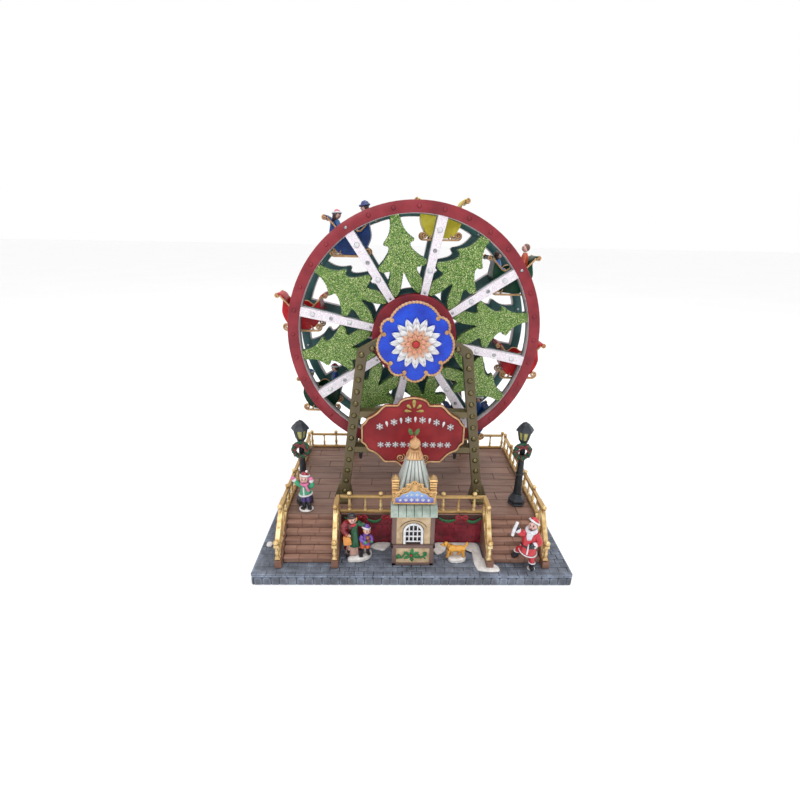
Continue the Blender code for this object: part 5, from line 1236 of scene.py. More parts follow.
def booth_posts():
    """Brown posts at the corners, the plinth, the sill that runs round as a counter, and the top rail."""
    made, half, y, back, sill = [], BOOTH["half"], BOOTH["front"], BOOTH["back"], BOOTH["sill"]
    for side in (-1, 1):
        for deep in ((y, y + 4), (back - 4, back)):
            made.append(bar(span_on(side, 16.9, half), deep, (ON_BASE, BOOTH["top"])))
        made += [bar(span_on(side, 19.6, 21.1), (y + 0.2, back - 0.2), (ON_BASE, 15.2)),
                 bar(span_on(side, 19.6, 21.9), (y - 1.6, back), sill),
                 bar(span_on(side, 19.6, half), (y + 4, back - 0.1), (69.6, 83.9))]
    made += [bar((-half, half), (y, y + 1.6), (ON_BASE, 15.3)), bar((-21.9, 21.9), (y - 1.6, y + 3), sill),
             bar((-half, half), (back - 1.6, back), (ON_BASE, 15.3))]
    return made


def booth_window():
    """A white arched frame over the dark opening, which is painted shade, with three upright bars that carry
    three level ones.
    """
    y = BOOTH["front"]
    reach = ARCH_R - 1.2
    head = arc_points(0, ARCH_Z, reach, 176, 4)
    arch = evened([(-reach, 38.8), (-reach, ARCH_Z), *head, (reach, ARCH_Z), (reach, 38.8)], 0.9, loop=False)
    frame_bar = [(-1.2, -0.9), (1.2, -0.9), (1.2, 0.9), (-1.2, 0.9)]
    made = [swept(at_depth(arch, y + 0.5), frame_bar)]
    for x in (-4.1, 0, 4.1):
        top = ARCH_Z + math.sqrt((ARCH_R - 1.6) ** 2 - x * x)
        made.append(bar((x - 0.6, x + 0.6), (y + 0.5, y + 1.5), (41.2, top)))
    for z in (41.4, 47.4, 53.6):
        made.append(bar((-8.2, 8.2), (y + 0.3, y + 1.3), (z - 0.65, z + 0.65)))
    return made


def awning():
    """Boards side by side, each bent softly from the flat over the edge into the hanging lip."""
    made, half, wide, gap = [], AWNING["wide"] / 2, AWNING["wide"] / AWNING["boards"], AWNING["gap"]
    bend = [(9.2, 73.0), (9.1, 77.6), (9.5, 79.4), (12.4, 82.0), (15.0, 83.6), (21.9, 84.0)]
    bend = softened(evened(bend, 0.7, False), 6, False)
    side = list(bend) + [(21.9, 81.5), (15, 81.2), (11.2, 78.6), (11.2, 73.0)]
    # The tone is 1 on the hanging lip and about 0.7 on the flat top and on its underside; the underside's dark
    # is painted shade.
    lip = fade(bend[:, 1], 80.6, 78.2)
    tone = np.concatenate((0.72 + 0.28 * lip, (0.7, 0.7, 1, 1)))
    for i in range(AWNING["boards"]):
        left = wide * i - half
        own = (0.94 + 0.12 * float(random_mark(i, 4))) * np.concatenate((tone, tone))[:, None] * np.ones(3)
        made.append(slab(side, left + gap, left + wide - gap, lie="side", tint=own))
    # The two bars under the awning are painted dark: painted shade beneath it.
    for near, low, high in ((10.6, 72.9, 77.6), (15.4, 77, 81.8)):
        made.append(bar((-22.4, 22.4), (near, 21.9), (low, high), (0.4, 0.36, 0.32)))
    return made


CREST = np.array(((0, 109.9), (2.8, 108.7), (3.7, 106.9), (5.6, 107.2), (7.5, 105.9), (8.3, 102.7),
                  (10.6, 102.4), (12.1, 102.1), (13.1, 100.2), (15, 98.2), (18.2, 97.8), (20.4, 98.6),
                  (21.3, 97.3), (20.5, 95.6)))
CREST_COILS = ((17.6, 94.9, 2.0, 20), (11.2, 99.9, 2.5, 60), (6.0, 104.5, 2.6, 40), (15.2, 95.6, 1.3, 80))
FIELD = np.array(((0, 98.6), (1.7, 98.8), (2.9, 100.2), (4.1, 99.3), (6.5, 97.2), (10.2, 96.5), (12.2, 95.2),
                  (14, 92.6), (18.4, 92.3), (18.4, 86.5)))


def mirrored(half):
    """The right half of an outline, listed from its top, with its mirror image."""
    return np.concatenate((half, (half * (-1, 1))[:0:-1]))


def booth_board():
    """The gold board, whose top steps up in scrolls to a round peak."""
    outline = mirrored(np.concatenate((CREST, ((20.5, 84.4),))))
    return [slab(softened(evened(outline, 0.8), 1), 14.7, 16.1)]


def crest_scrolls():
    """Raised scrolls in pairs along the crest, a boss and a shell at its peak, a moulding round the field."""
    made = []
    for side in (-1, 1):
        for x, z, size, lead in CREST_COILS:
            lead = lead if side > 0 else 180 - lead
            coil = spiral(side * x, 14.4, z, size, 0.3, 1.5, lead, side, 26)
            made.append(swept(coil, round_section(0.62, 8), scale=np.linspace(1, 1.2, 26)))
        edge = evened(CREST * (side * 0.975, 1) - (0, 0.5), 0.8, False)
        made.append(swept(at_depth(softened(edge, 2, False), 14.5), round_section(0.66, 8)))
        made.append(ball((side * 20.6, 14.6, 97.6), 1.0, 12))
        for x, tilt in ((1.7, 30), (3.2, 62)):
            made.append(leaf(side * x, 14.2, 107.4 - 0.4 * x, 4.2, 1.7, side * tilt, 0.8))
    made.append(leaf(0, 14.1, 107.6, 4.8, 2.0, 0, 0.9))
    made.append(ball((0, 14.5, 102.9), (3.6, 1.0, 3.6), 20))
    made.append(swept(at_depth(arc_points(0, 102.9, 3.5, 0, 345, 40), 14.1), round_section(0.45, 8), loop=True))
    made.append(swept(at_depth(drawn_in(field_outline(), -0.5), 14.3), round_section(0.6, 8), loop=True))
    return made


def field_outline():
    """The blue field: straight below, stepped above, with a dip in the middle under the boss."""
    return softened(evened(mirrored(FIELD), 0.8), 1)


def turret(side):
    """A square turret of five rounded ribs, the top one largest, and a pointed cap. Each rib is painted with a
    highlight on its crown and lighter above than below, and the grooves between are painted dark as shade.
    """
    profile, lit_and_shaded_tones = [(3.3, 0), (3.3, 9.6)], [1.0, 0.7]
    for height, reach in ((11.5, 3.3), (14.4, 3.35), (17.3, 3.4), (20.1, 3.45), (23.2, 3.75)):
        # Tones round each rib: painted shade in the grooves, a painted highlight on the crown, the upper side
        # lit more than the lower.
        for degrees, tone in ((-90, 0.24), (-50, 0.72), (-15, 1.28), (15, 1.38), (50, 0.9), (90, 0.24)):
            a = math.radians(degrees)
            profile.append((reach - 0.85 + 0.85 * math.cos(a), height + 1.42 * math.sin(a)))
            lit_and_shaded_tones.append(tone)
    profile += [(3.0, 24.8), (2.9, 25.5), (1.1, 26.9), (0.15, 28.3)]
    lit_and_shaded_tones = np.array([1.0, *lit_and_shaded_tones, 0.5, 0.62, 0.62, 0.7, 0.7])
    profile = [(radius * math.sqrt(2), height) for radius, height in profile]
    tint = lit_and_shaded_tones[:, None, None] * np.ones(3)
    return [turned(profile, (side * 18.2, 22.6, SPIRE_LOW), 4, start=45, tint=tint)]


def rounded_square(corner, per_side):
    """A square about the origin with half sides of 1, its corners rounded by a share of them, and each point's
    share of the way along its side."""
    share = np.linspace(0, 4, 4 * per_side, endpoint=False)
    side, b = np.floor(share), 2 * (share % 1) - 1
    reach = np.maximum(np.abs(b) - (1 - corner), 0) / corner
    a = 1 - corner * (1 - np.sqrt(np.maximum(1 - 0.5 * reach ** 2, 0))) * 2
    b = np.sign(b) * np.minimum(np.abs(b), 1 - corner + corner * (1 - (1 - reach) ** 1.5) * 0.72)
    turn = side * math.pi / 2
    return np.stack((a * np.cos(turn) - b * np.sin(turn), a * np.sin(turn) + b * np.cos(turn)), -1), share % 1


def spire():
    """A pleated pyramid: six flat ribs a side with narrow grooves between, drawn in evenly towards the top."""
    ring, share = rounded_square(0.24, 60)
    groove = np.abs(((share * 6) % 1) - 0.5) * 2
    sunk = fade(groove, 0.62, 0.92)
    # The grooves are painted darker than the ribs: painted shade.
    tone, rings = (1.02 - 0.72 * sunk)[:, None] * np.ones(3), []
    for lift in np.linspace(0, 1, 10):
        reach = np.array((19.7 + (7.7 - 19.7) * lift, 15.8 + (7.6 - 15.8) * lift))
        rings.append(np.column_stack((ring * reach * (1 - 0.055 * sunk)[:, None] + (0, SPIRE_Y),
                                      np.full(len(ring), SPIRE_LOW + (SPIRE_TOP - SPIRE_LOW) * lift))))
    return [skin(capped(np.stack(rings)), around=True, tint=tone)]


BELL = ((7.8, 0), (8.0, 0.5), (8.0, 1.0), (7.5, 1.9), (6.6, 3.7), (6.0, 5.4), (5.4, 7.4), (5.3, 7.8),
        (5.7, 8.1), (5.6, 8.6), (2.8, 8.9))


def finial():
    """A fluted bell with rounded corners, a collar, a ball and a pointed tip."""
    ring, share = rounded_square(0.45, 30)
    flute = 1 - 0.1 * fade(np.abs(((share * 5) % 1) - 0.5) * 2, 0.55, 0.95)
    rings = []
    for radius, height in BELL:
        wave = flute if 1.6 < height < 7.6 else np.ones_like(flute)
        rings.append(np.column_stack((ring * (radius * wave)[:, None] + (0, SPIRE_Y),
                                      np.full(len(ring), SPIRE_TOP + 0.3 + height))))
    globe = [(5.3 * math.sin(a), 140.6 - 5.3 * math.cos(a)) for a in np.radians(np.linspace(32, 140, 14))]
    tip = [(2.5, 145.3), (1.6, 146.4), (0.9, 147.4), (0.3, 148.6)]
    return [skin(capped(np.stack(rings)), around=True),
            turned([(2.9, 135.0)] + globe + tip, (0, SPIRE_Y, 0), 32)]


def holly_leaf(x, y, z, long, wide, tilt, lean=0.0):
    """A holly leaf that faces the front: its edge draws in between spiny points, and its middle is folded."""
    s = np.linspace(0, 1, 19)
    spines = 0.62 + 0.38 * np.abs(np.cos(s * 3 * math.pi)) ** 0.8
    width = wide / 2 * np.sin(math.pi * np.clip(s, 0.02, 0.98)) ** 0.75 * spines
    t = np.array((-1, -0.5, 0, 0.5, 1, 0.5, 0, -0.5))
    face = np.array((0, 1, 1, 1, 0, -1, -1, -1))
    a = width[:, None] * t
    b = np.broadcast_to(((s - 0.5) * long)[:, None], a.shape)
    c = 0.45 * np.abs(t) * np.sin(math.pi * s)[:, None] - 0.22 * face * np.sin(math.pi * s)[:, None] ** 0.5
    return skin(faced(x, y, z, a, c + lean * b, b, tilt), around=True)


def holly_panel():
    """A sprig on the lower panel: six leaves round a berry, and a curling leafy stem to each side."""
    y, z, middle, s = BOOTH["front"] + 0.5, HOLLY_Z, HOLLY_X, np.linspace(0, 1, 26)
    made = [holly_leaf(middle + 4.6 * math.sin(a), y, z + 4.0 * math.cos(a), 8.2, 6.4, math.degrees(a))
            for a in np.radians((8, 62, 116, 172, 236, 300))]
    for side in (-1, 1):
        rise = (1 if side > 0 else 1.2) * (1.9 * np.sin(2.2 * math.pi * s) - 0.8 * s)
        stem = np.stack((middle + side * (3 + 10.6 * s), np.full(26, y), z + rise), -1)
        made.append(swept(stem, round_section(0.85, 8)))
        lead = 250 if side > 0 else 100
        curl = spiral(middle + side * 13.4, y, z + 1.8 * side, 2.6, 0.4, 1.2, lead, side, 22)
        made.append(swept(curl, round_section(0.85, 8)))
        made.append(ball((middle + side * 13.4, y, z + 2.2 * side), (1.9, 0.7, 1.9), 14))
        made.append(holly_leaf(middle + side * 9.0, y, z - 2.8, 4.6, 3.0, side * 130))
        made.append(holly_leaf(middle + side * 13.6, y, z - 3.4, 4.0, 2.6, side * 150))
    return made


crest_gold = painted("crest_gold", (196, 148, 88), (224, 178, 116), (242, 204, 146), size=5,
                     rough=(0.32, 0.46), metal=0.25, grain=0.4, bump=0.02, wash_and_shade=(88, 50, 26), wash_and_shade_reach=2.0)
ribbed = painted("ribbed_gold", (206, 156, 96), (228, 182, 120), (242, 206, 148), size=5,
                 rough=(0.32, 0.46), metal=0.2, grain=0.4, bump=0.02, tinted=True)
tan = painted("booth_tan", (176, 150, 116), (204, 177, 140), (220, 196, 162), size=9,
              rough=(0.5, 0.68), grain=0.5, bump=0.05, wash_and_shade=(110, 80, 52), wash_and_shade_reach=1.3)
post_brown = painted("booth_post", (80, 58, 55), (95, 71, 67), (111, 85, 79), size=7, stretch=(1, 1, 4),
                     rough=(0.5, 0.66), grain=0.5, bump=0.05, wash_and_shade=(52, 36, 34), rub_and_highlight=(136, 110, 102))
sage = painted("awning_sage", (152, 169, 156), (176, 191, 180), (194, 206, 198), size=9,
               rough=(0.42, 0.58), grain=0.5, bump=0.04, wash_and_shade=(84, 96, 84), wash_and_shade_reach=0.7, tinted=True)
spire_paint = painted("spire_silver", (164, 172, 168), (190, 197, 193), (212, 217, 213), size=7,
                      stretch=(1, 1, 4), rough=(0.3, 0.44), metal=0.15, grain=0.5, bump=0.04,
                      wash_and_shade=(84, 92, 76), wash_and_shade_reach=1.0, tinted=True)
painted_shade_dark = painted("painted_shade_opening", (16, 16, 18), (24, 23, 25), (40, 30, 32), size=4, rough=(0.3, 0.5))
holly = painted("holly_green", (22, 92, 48), (36, 122, 66), (60, 146, 84), size=2, rough=(0.35, 0.5),
                grain=0.3, bump=0.03, wash_and_shade=(12, 52, 30), wash_and_shade_reach=0.7)
berry = painted("berry_red", (150, 26, 32), (188, 36, 42), (206, 60, 60), size=2, rough=(0.2, 0.35))
piece("booth_panels", booth_panels(), tan, "stand", ["booth_body"], bevel=0.25)
piece("booth_posts", booth_posts(), post_brown, "stand", bevel=0.35)
piece("booth_window_frame", booth_window(), white, "stand", ["booth_window"], bevel=0.15)
# A dark sheet fills the window in front of the booth's solid core: painted shade inside the booth.
opening = [(-ARCH_R, 38.2), *arc_points(0, ARCH_Z, ARCH_R, 180, 0), (ARCH_R, 38.2)]
piece("booth_opening", [slab(opening, 16.4, 16.9)], painted_shade_dark, "stand")
# A thin dark line along the top of the eyebrow arch: a painted shadow line in the crease.
arch_shadow_line = at_depth(arc_points(0, ARCH_Z - ARCH_DROP, 14.7, 150, 30, 24), BOOTH["front"] + 0.66)
piece("booth_arch_line", [swept(arch_shadow_line, round_section(0.24, 6))], painted_shade_dark, "stand")
piece("awning_boards", awning(), sage, "stand", ["booth_awning"], bevel=0.45)
piece("booth_board_gold", booth_board(), crest_gold, "stand", ["booth_sign"], bevel=0.3)
piece("booth_crest", crest_scrolls(), crest_gold, "stand")
enamel_field = painted("booth_field", (70, 66, 160), (92, 104, 186), (126, 164, 214), size=12,
                       rough=(0.3, 0.45), grain=0.6, bump=0.02, wash_and_shade=(50, 44, 110), wash_and_shade_reach=0.7)
rise = node(enamel_field, "SeparateXYZ", {0: node(enamel_field, "TexCoord").outputs["Object"]}).outputs[2]
tone = blended(enamel_field, ranged(enamel_field, rise, 0.0868, 0.0965), shade(86, 72, 168),
               shade(132, 170, 216))
enamel_field.node_tree.links.new(tone, enamel_field.node_tree.nodes["Principled BSDF"].inputs["Base Color"])
piece("booth_field", [slab(field_outline(), 14.4, 15.1)], enamel_field, "stand", bevel=0.1)
stars = ((-7.2, 94.6, 1.4), (-2.6, 95.6, 1.7), (2.4, 95.6, 1.7), (7.0, 94.6, 1.4), (-13.6, 89.4, 1.7),
         (-8.2, 89.7, 2.0), (-2.7, 89.9, 2.1), (2.7, 89.9, 2.1), (8.2, 89.7, 2.0), (13.6, 89.4, 1.7))
stars = [s for x, z, reach in stars for s in crystal(x, 14.2, z, reach, 0.24)]
piece("booth_field_crystals", stars, white, "stand")
for side, word in ((-1, "left"), (1, "right")):
    piece(f"booth_turret_{word}", turret(side), ribbed, "stand", [f"booth_tower_{word}"],
          sharp=50)
piece("booth_spire_pleats", spire(), spire_paint, "stand", ["booth_spire"], sharp=60)
piece("booth_finial_gold", finial(), trim, "stand", ["booth_finial"])
piece("booth_holly", holly_panel(), holly, "stand", sharp=60)
leaf_green = painted("leaf_olive", (52, 90, 36), (72, 112, 50), (96, 132, 66), size=2, rough=(0.35, 0.5),
                     grain=0.3, bump=0.03, wash_and_shade=(30, 50, 24), wash_and_shade_reach=0.7)
top_leaves = [holly_leaf(side * 3.0 - 1.4, SPIRE_Y - 0.4, 152.6, 8.6, 4.4, side * 24, 0.06) for side in (-1, 1)]
piece("booth_top_leaves", top_leaves, leaf_green, "stand", sharp=60)
berries = [ball((HOLLY_X, BOOTH["front"] - 0.1, HOLLY_Z), 1.4, 14)]
berries += [ball((x, SPIRE_Y - 1.6, z), 1.0, 12) for x, z in ((-3.6, 148.2), (-2.0, 148.9))]
piece("booth_berries", berries, berry, "stand")

# Figures and passengers
# Small cast figures in winter clothes, each moulded on its own patch of snow, and a pair of passengers in every
# other gondola: turned coats, tapering limbs and round heads. They are painted by hand in flat bright colours,
# with a darker tone in the folds that is both a paint wash and painted shade, and dots for the faces. They
# stand where the photograph shows them.
FLESH, ROSY, FLUFF = (232, 188, 176), (226, 150, 146), (232, 230, 232)


def hue(red, green, blue):
    """A screen colour as a tint for the near-white figure paint."""
    return shade(red, green, blue) / shade(240, 240, 240)


def limb(points, radii, colour, sides=12):
    """A tapering tube through points; its radius runs through the given ones along the way."""
    path = softened(evened(points, 0.6, loop=False), 4, loop=False)
    share = np.linspace(0, 1, len(path))
    thick = np.interp(share, np.linspace(0, 1, len(radii)), radii)
    return swept(path, round_section(1, sides), ref=(0.18, 1, 0.12), scale=thick, tint=hue(*colour))


def fur(points, thick, colour=FLUFF, loop=False, ref=(0, 1, 0)):
    """A trim of fluff: a tube whose thickness jumps a little from one point to the next."""
    path = evened(points, 0.5, loop)
    tuft = 0.88 + 0.26 * random_mark(np.arange(len(path)), len(path))
    return swept(path, round_section(thick, 10), ref=ref, scale=tuft, loop=loop, tint=hue(*colour))


def hoop(x, y, z, wide, deep, tilt=0.0, nod=0.0):
    """A level oval of points; tilt lifts its right side and nod its front."""
    turn = np.linspace(0, 2 * math.pi, 48, endpoint=False)
    c, s = np.cos(turn), np.sin(turn)
    return np.stack((x + wide * c, y + deep * s, z + tilt * c - nod * s), -1)


def ring(points, thick, colour, sides=10):
    """A smooth tube round a level oval: a belt, a collar or the brim of a hat."""
    return swept(points, round_section(thick, sides), ref=(0, 0, 1), loop=True, tint=hue(*colour))


def cloth(x, y, z, profile, colour, folds=0.04, deep=0.8, count=9):
    """A garment: a turned form pressed front to back, whose radius waves round in soft folds."""
    made = turned(profile, (0, 0, 0), 54, flute=folds, flutes=count, tint=hue(*colour))
    return {**made, "at": made["at"] * (1, deep, 1) + (x, y, z)}


def head(x, y, z, radius, hair, turn=0.0, long_hair=False):
    """A face with dots for eyes, a nose, a mouth and rosy cheeks, that looks turn degrees to the right."""
    def spot(across, up, size, colour, out=0.96):
        a, b = math.radians(turn + across), math.radians(up)
        way = np.array((math.sin(a) * math.cos(b), -math.cos(a) * math.cos(b), 1.08 * math.sin(b)))
        return ball((x, y, z) + radius * out * way, radius * np.array(size), 10, hue(*colour))

    made = [ball((x, y, z), (radius, radius * 0.95, radius * 1.12), 24, hue(*FLESH)),
            spot(0, -4, (0.17, 0.2, 0.17), (226, 168, 156), 1.02),
            spot(0, -27, (0.2, 0.12, 0.09), (190, 62, 66))]
    for side in (-1, 1):
        made.append(spot(side * 23, 11, (0.15, 0.12, 0.17), (30, 20, 22)))
        made.append(spot(side * 25, 27, (0.22, 0.08, 0.06), hair))
        made.append(spot(side * 40, -14, (0.28, 0.2, 0.24), ROSY, 0.84))
    a = math.radians(turn)
    middle = (x - 0.3 * radius * math.sin(a), y + 0.3 * radius * math.cos(a), z + 0.2 * radius)
    made.append(ball(middle, (radius * 1.1, radius * 1.05, radius * 1.12), 22, hue(*hair)))
    if long_hair:
        fall = [middle, (middle[0] - 0.4 * radius, middle[1] + 0.6, z - radius),
                (x - 0.4 * radius, y + 1, z - 2.1 * radius)]
        made.append(limb(fall, (radius * 1.0, radius * 0.9, radius * 0.5), hair, 16))
    return made


def cap(x, y, z, radius, colour, band, lean=0.0, pompom=None, nod=0.18, tilt=None):
    """A knitted cap with a rolled band of fluff; its crown leans sideways and may end in a round tuft."""
    crown = [(x, y + 0.2, z - 0.1 * radius), (x + 0.25 * lean * radius, y + 0.4, z + 0.55 * radius),
             (x + 0.8 * lean * radius, y + 0.6, z + 0.85 * radius)]
    made = [limb(crown, (radius * 1.06, radius * 0.95, radius * 0.3), colour, 20)]
    tilt = -0.3 * lean if tilt is None else tilt
    brim = hoop(x, y, z, radius * 1.04, radius, tilt * radius, nod * radius)
    made.append(fur(brim, radius * 0.24, band, True, (0, 0, 1)))
    if pompom:
        made.append(ball((x + 1.05 * lean * radius, y + 0.4, z + 1.05 * radius), radius * 0.34, 12,
                         hue(*pompom)))
    return made


def checked(shape, size):
    """Crossed bands woven into a cloth: dark where a wave across or up, one per size, is above its middle."""
    bands = sum((np.sin(2 * math.pi * shape["at"][:, k] / size) > 0.1).astype(float) for k in (0, 2))
    return {**shape, "tint": shape["tint"] * (1 - 0.38 * bands)[:, None]}


def arm(shoulder, elbow, hand, thick, sleeve, cuff, glove):
    """A sleeve from shoulder to wrist, a fluffy cuff, and a mitten with its thumb."""
    shoulder, elbow, hand = (np.array(p, float) for p in (shoulder, elbow, hand))
    wrist = elbow + (hand - elbow) * 0.72
    inward = 1 if hand[0] < shoulder[0] else -1
    return [limb([shoulder, elbow, wrist], (thick * 1.15, thick * 1.1, thick * 0.85), sleeve),
            ball(wrist, thick * 1.08, 12, hue(*cuff)),
            ball(hand, (thick * 0.95, thick * 0.8, thick * 1.0), 12, hue(*glove)),
            ball(hand + thick * np.array((0.7 * inward, -0.3, 0.3)), thick * 0.42, 8, hue(*glove))]


def boot(x, y, z, size, turn=0.0, colour=(42, 42, 48), shaft=2.2):
    """A dark boot: a round toe cap that points turn degrees right of the front, a heel and a short shaft."""
    a = math.radians(turn)
    toe = (x + size * 0.9 * math.sin(a), y - size * 0.9 * math.cos(a), z + size * 0.42)
    return [limb([(x, y + size * 0.2, z + size * 0.5), toe], (size * 0.52, size * 0.5), colour),
            limb([(x, y, z + size * 0.3), (x, y + 0.2, z + size * shaft)], (size * 0.5, size * 0.62), colour)]


def snow(outline, low, high):
    """A patch of snow: an outline that swells from its foot and rounds over to an uneven top."""
    outline = softened(evened(outline, 0.8), 14)
    middle = outline.mean(0)
    rings = []
    for share, lift in ((1, 0), (1.0, 0.35), (0.985, 0.7), (0.93, 0.92), (0.82, 1), (0.6, 1.02), (0.35, 1),
                        (0.0, 1)):
        at = middle + (outline - middle) * share
        bumpy = lift + 0.1 * (share < 0.95) * uneven(at[:, 0], at[:, 1], 2.6)
        rings.append(np.column_stack((at, low + (high - low) * bumpy)))
    rings[-1][:] = rings[-1].mean(0)
    return skin(capped(np.stack(rings)), around=True)


def oval(x, y, wide, deep):
    """An oval outline seen from above, a little uneven."""
    turn = np.linspace(0, 2 * math.pi, 40, endpoint=False)
    reach = 1 + 0.06 * np.sin(3 * turn + x) + 0.04 * np.sin(5 * turn)
    return np.stack((x + wide * reach * np.cos(turn), y + deep * reach * np.sin(turn)), -1)


def waving_child():
    """A child on the deck with both mittens up: green jacket edged in fluff, pink scarf, purple trousers."""
    x, y, jacket, pink = -112.4, 56.0, (56, 170, 122), (226, 118, 168)
    body = [(6.3, 0), (6.4, 1.2), (5.6, 3.4), (4.9, 6.4), (4.7, 8.8), (4.3, 11.2), (2.6, 13.1)]
    made = [cloth(x, y, 68.9, body, jacket),
            fur(hoop(x, y, 69.4, 6.5, 5.4, 0.8), 1.0, loop=True, ref=(0, 0, 1)),
            fur([(x - 0.8, y - 5.2, 69.4), (x - 1.0, y - 4.4, 73), (x - 1.1, y - 3.8, 79.4)], 0.95)]
    for side in (-1, 1):
        leg = [(x + side * 2.5, y, 70.6), (x + side * 2.5, y - 0.2, 60.6)]
        made.append(limb(leg, (3.1, 2.9), (74, 60, 122)))
        made += boot(x + side * 2.7 + 0.4, y - 0.2, 51.6, 4.3, side * 20, shaft=2.1)
    made += arm((x - 3.4, y, 79.2), (-119.6, y - 0.6, 81.6), (-124.6, y - 1.4, 88.6), 2.3, jacket, FLUFF, pink)
    made += arm((x + 3.6, y, 79.0), (-105.0, y - 1, 80.0), (-105.8, y - 1.4, 87.8), 2.4, jacket, FLUFF, pink)
    made.append(ring(hoop(x - 0.2, y - 0.6, 82.8, 3.4, 2.9, nod=-0.8), 1.7, pink))
    scarf_end = [(x + 1.4, y - 3.6, 81.8), (x + 2.6, y - 4.8, 78.6), (x + 4.6, y - 5.4, 75.6)]
    made.append(limb(scarf_end, (1.1, 1.3, 1.4), pink))
    made += head(x - 0.6, y - 0.8, 87.8, 4.4, (226, 186, 166), 4)
    made += cap(x + 0.2, y + 0.6, 91.0, 4.2, (166, 40, 52), FLUFF, 0.4, FLUFF, 0.3, -0.12)
    return made


def woman():
    """A woman who bends to a small child: green coat, checked shawl, basket-coloured bag, dark hat, skirt."""
    y, coat, shawl = 27.4, (30, 92, 58), (172, 54, 66)
    skirt = [(7.0, 0), (7.4, 1.6), (6.4, 6), (5.2, 12.4)]
    body = [(5.4, 0), (5.6, 1.2), (4.9, 8), (3.7, 17), (3.4, 21.6), (4.6, 25), (4.4, 27.6), (2.2, 30.4)]
    fall = [(4.0, 0), (4.5, 1), (4.2, 11), (3.6, 24), (1.8, 30)]
    made = [cloth(-61.4, y, 17.6, skirt, (204, 160, 146), 0.06, 0.72, 11),
            cloth(-59.4, y - 0.6, 27.0, body, coat, 0.05, 0.85, 8),
            checked(cloth(-66.0, y + 2.6, 19.0, fall, shawl, 0.05, 0.5, 6), 2.4)]
    near = arm((-65.0, y - 0.6, 54.0), (-71.2, y - 1.6, 46.0), (-65.2, y - 4.6, 41.0), 2.7, shawl, shawl, FLESH)
    made += [checked(s, 2.0) for s in near[:2]] + near[2:]
    upper_arm = [(-55.8, y - 0.6, 55.2), (-52.4, y - 1, 52.4), (-48.6, y - 0.8, 52.6)]
    made.append(limb(upper_arm, (2.7, 2.2, 1.7), coat))
    made.append(checked(limb([(-66.4, y - 3, 57), (-69.8, y - 2.4, 51.2)], (2.6, 3.2), shawl), 2.0))
    made.append(checked(limb([(-63.8, y - 4.0, 55.4), (-62.8, y - 4.6, 50.6)], (1.5, 2.0), (120, 62, 60)), 1.6))
    made.append(ring(hoop(-61.0, y - 1.4, 55.0, 3.3, 3.0, nod=-1.4), 1.4, (214, 40, 62)))
    bag = [(-70.2, 41.6), (-63.0, 41.0), (-61.6, 32.6), (-69.6, 31.6)]
    made.append(slab(softened(evened(bag, 0.7), 2), y - 7.6, y - 4.4, tint=hue(238, 158, 70)))
    handle = [(-68.0, y - 6, 41.2), (-66.2, y - 6, 44.2), (-64.4, y - 6, 41.2)]
    made.append(limb(handle, (0.6, 0.6), (196, 124, 52), 8))
    made += boot(-65.0, y - 2.6, 14.2, 3.8, -30) + boot(-53.0, y - 3.4, 15.4, 3.8, 10)
    made += head(-60.8, y - 2.4, 59.2, 3.9, (232, 142, 62), 20)
    made += [ball((-60.8 + side * 3.4, y - 1.8, 59.4), (1.5, 1.6, 2.6), 14, hue(232, 142, 62))
             for side in (-1, 1)]
    made.append(ball((-61.6, y - 0.6, 63.0), (3.9, 3.5, 2.5), 20, hue(44, 46, 54)))
    made.append(fur(hoop(-61.4, y - 1.4, 62.0, 4.1, 3.6, 0.6, 0.5), 0.75, (36, 38, 46), True, (0, 0, 1)))
    return made


def small_child():
    """A small child beside the woman, in purple, who holds a brown toy."""
    x, y, purple, mitten, toy = -47.4, 26.4, (122, 84, 182), (50, 156, 92), (150, 98, 64)
    made = [cloth(x, y, 30.4, [(5.2, 0), (5.4, 1.4), (4.8, 4.6), (3.8, 9), (2.2, 11.8)], purple, 0.05, 0.9, 7)]
    for side in (-1, 1):
        leg = [(x - 1.2 + side * 2.3, y, 32.4), (x - 1.0 + side * 2.5, y - 0.8, 25.2)]
        made.append(limb(leg, (3.1, 2.7), (228, 104, 54)))
    made += boot(x - 4.4, y - 1.0, 16.6, 3.5, -20) + boot(x + 1.6, y - 0.6, 17.2, 3.5, 30)
    for *bones, thick in (((-51.0, y - 0.8, 39.8), (-52.8, y - 2.4, 35.6), (-47.6, y - 5.2, 34.6), 2.1),
                          ((-44.2, y - 0.8, 39.8), (-41.4, y - 2.0, 37.4), (-41.8, y - 4.4, 35.8), 1.9)):
        made += arm(*bones, thick, purple, purple, mitten)
    made += [ball((-45.4, y - 5.2, 40.2), 1.9, 14, hue(*toy)),
             ball((-44.4, y - 5.0, 36.2), (2.0, 1.6, 2.4), 14, hue(148, 62, 52))]
    made += [ball((-45.4 + side * 1.5, y - 5, 41.6), 0.7, 8, hue(*toy)) for side in (-1, 1)]
    made += head(-46.4, y - 1.4, 46.2, 3.6, (226, 176, 96), 26)
    made += cap(-47.2, y - 0.2, 49.0, 3.6, (112, 80, 176), FLUFF, -0.45, None, 0.3, -0.3)
    return made


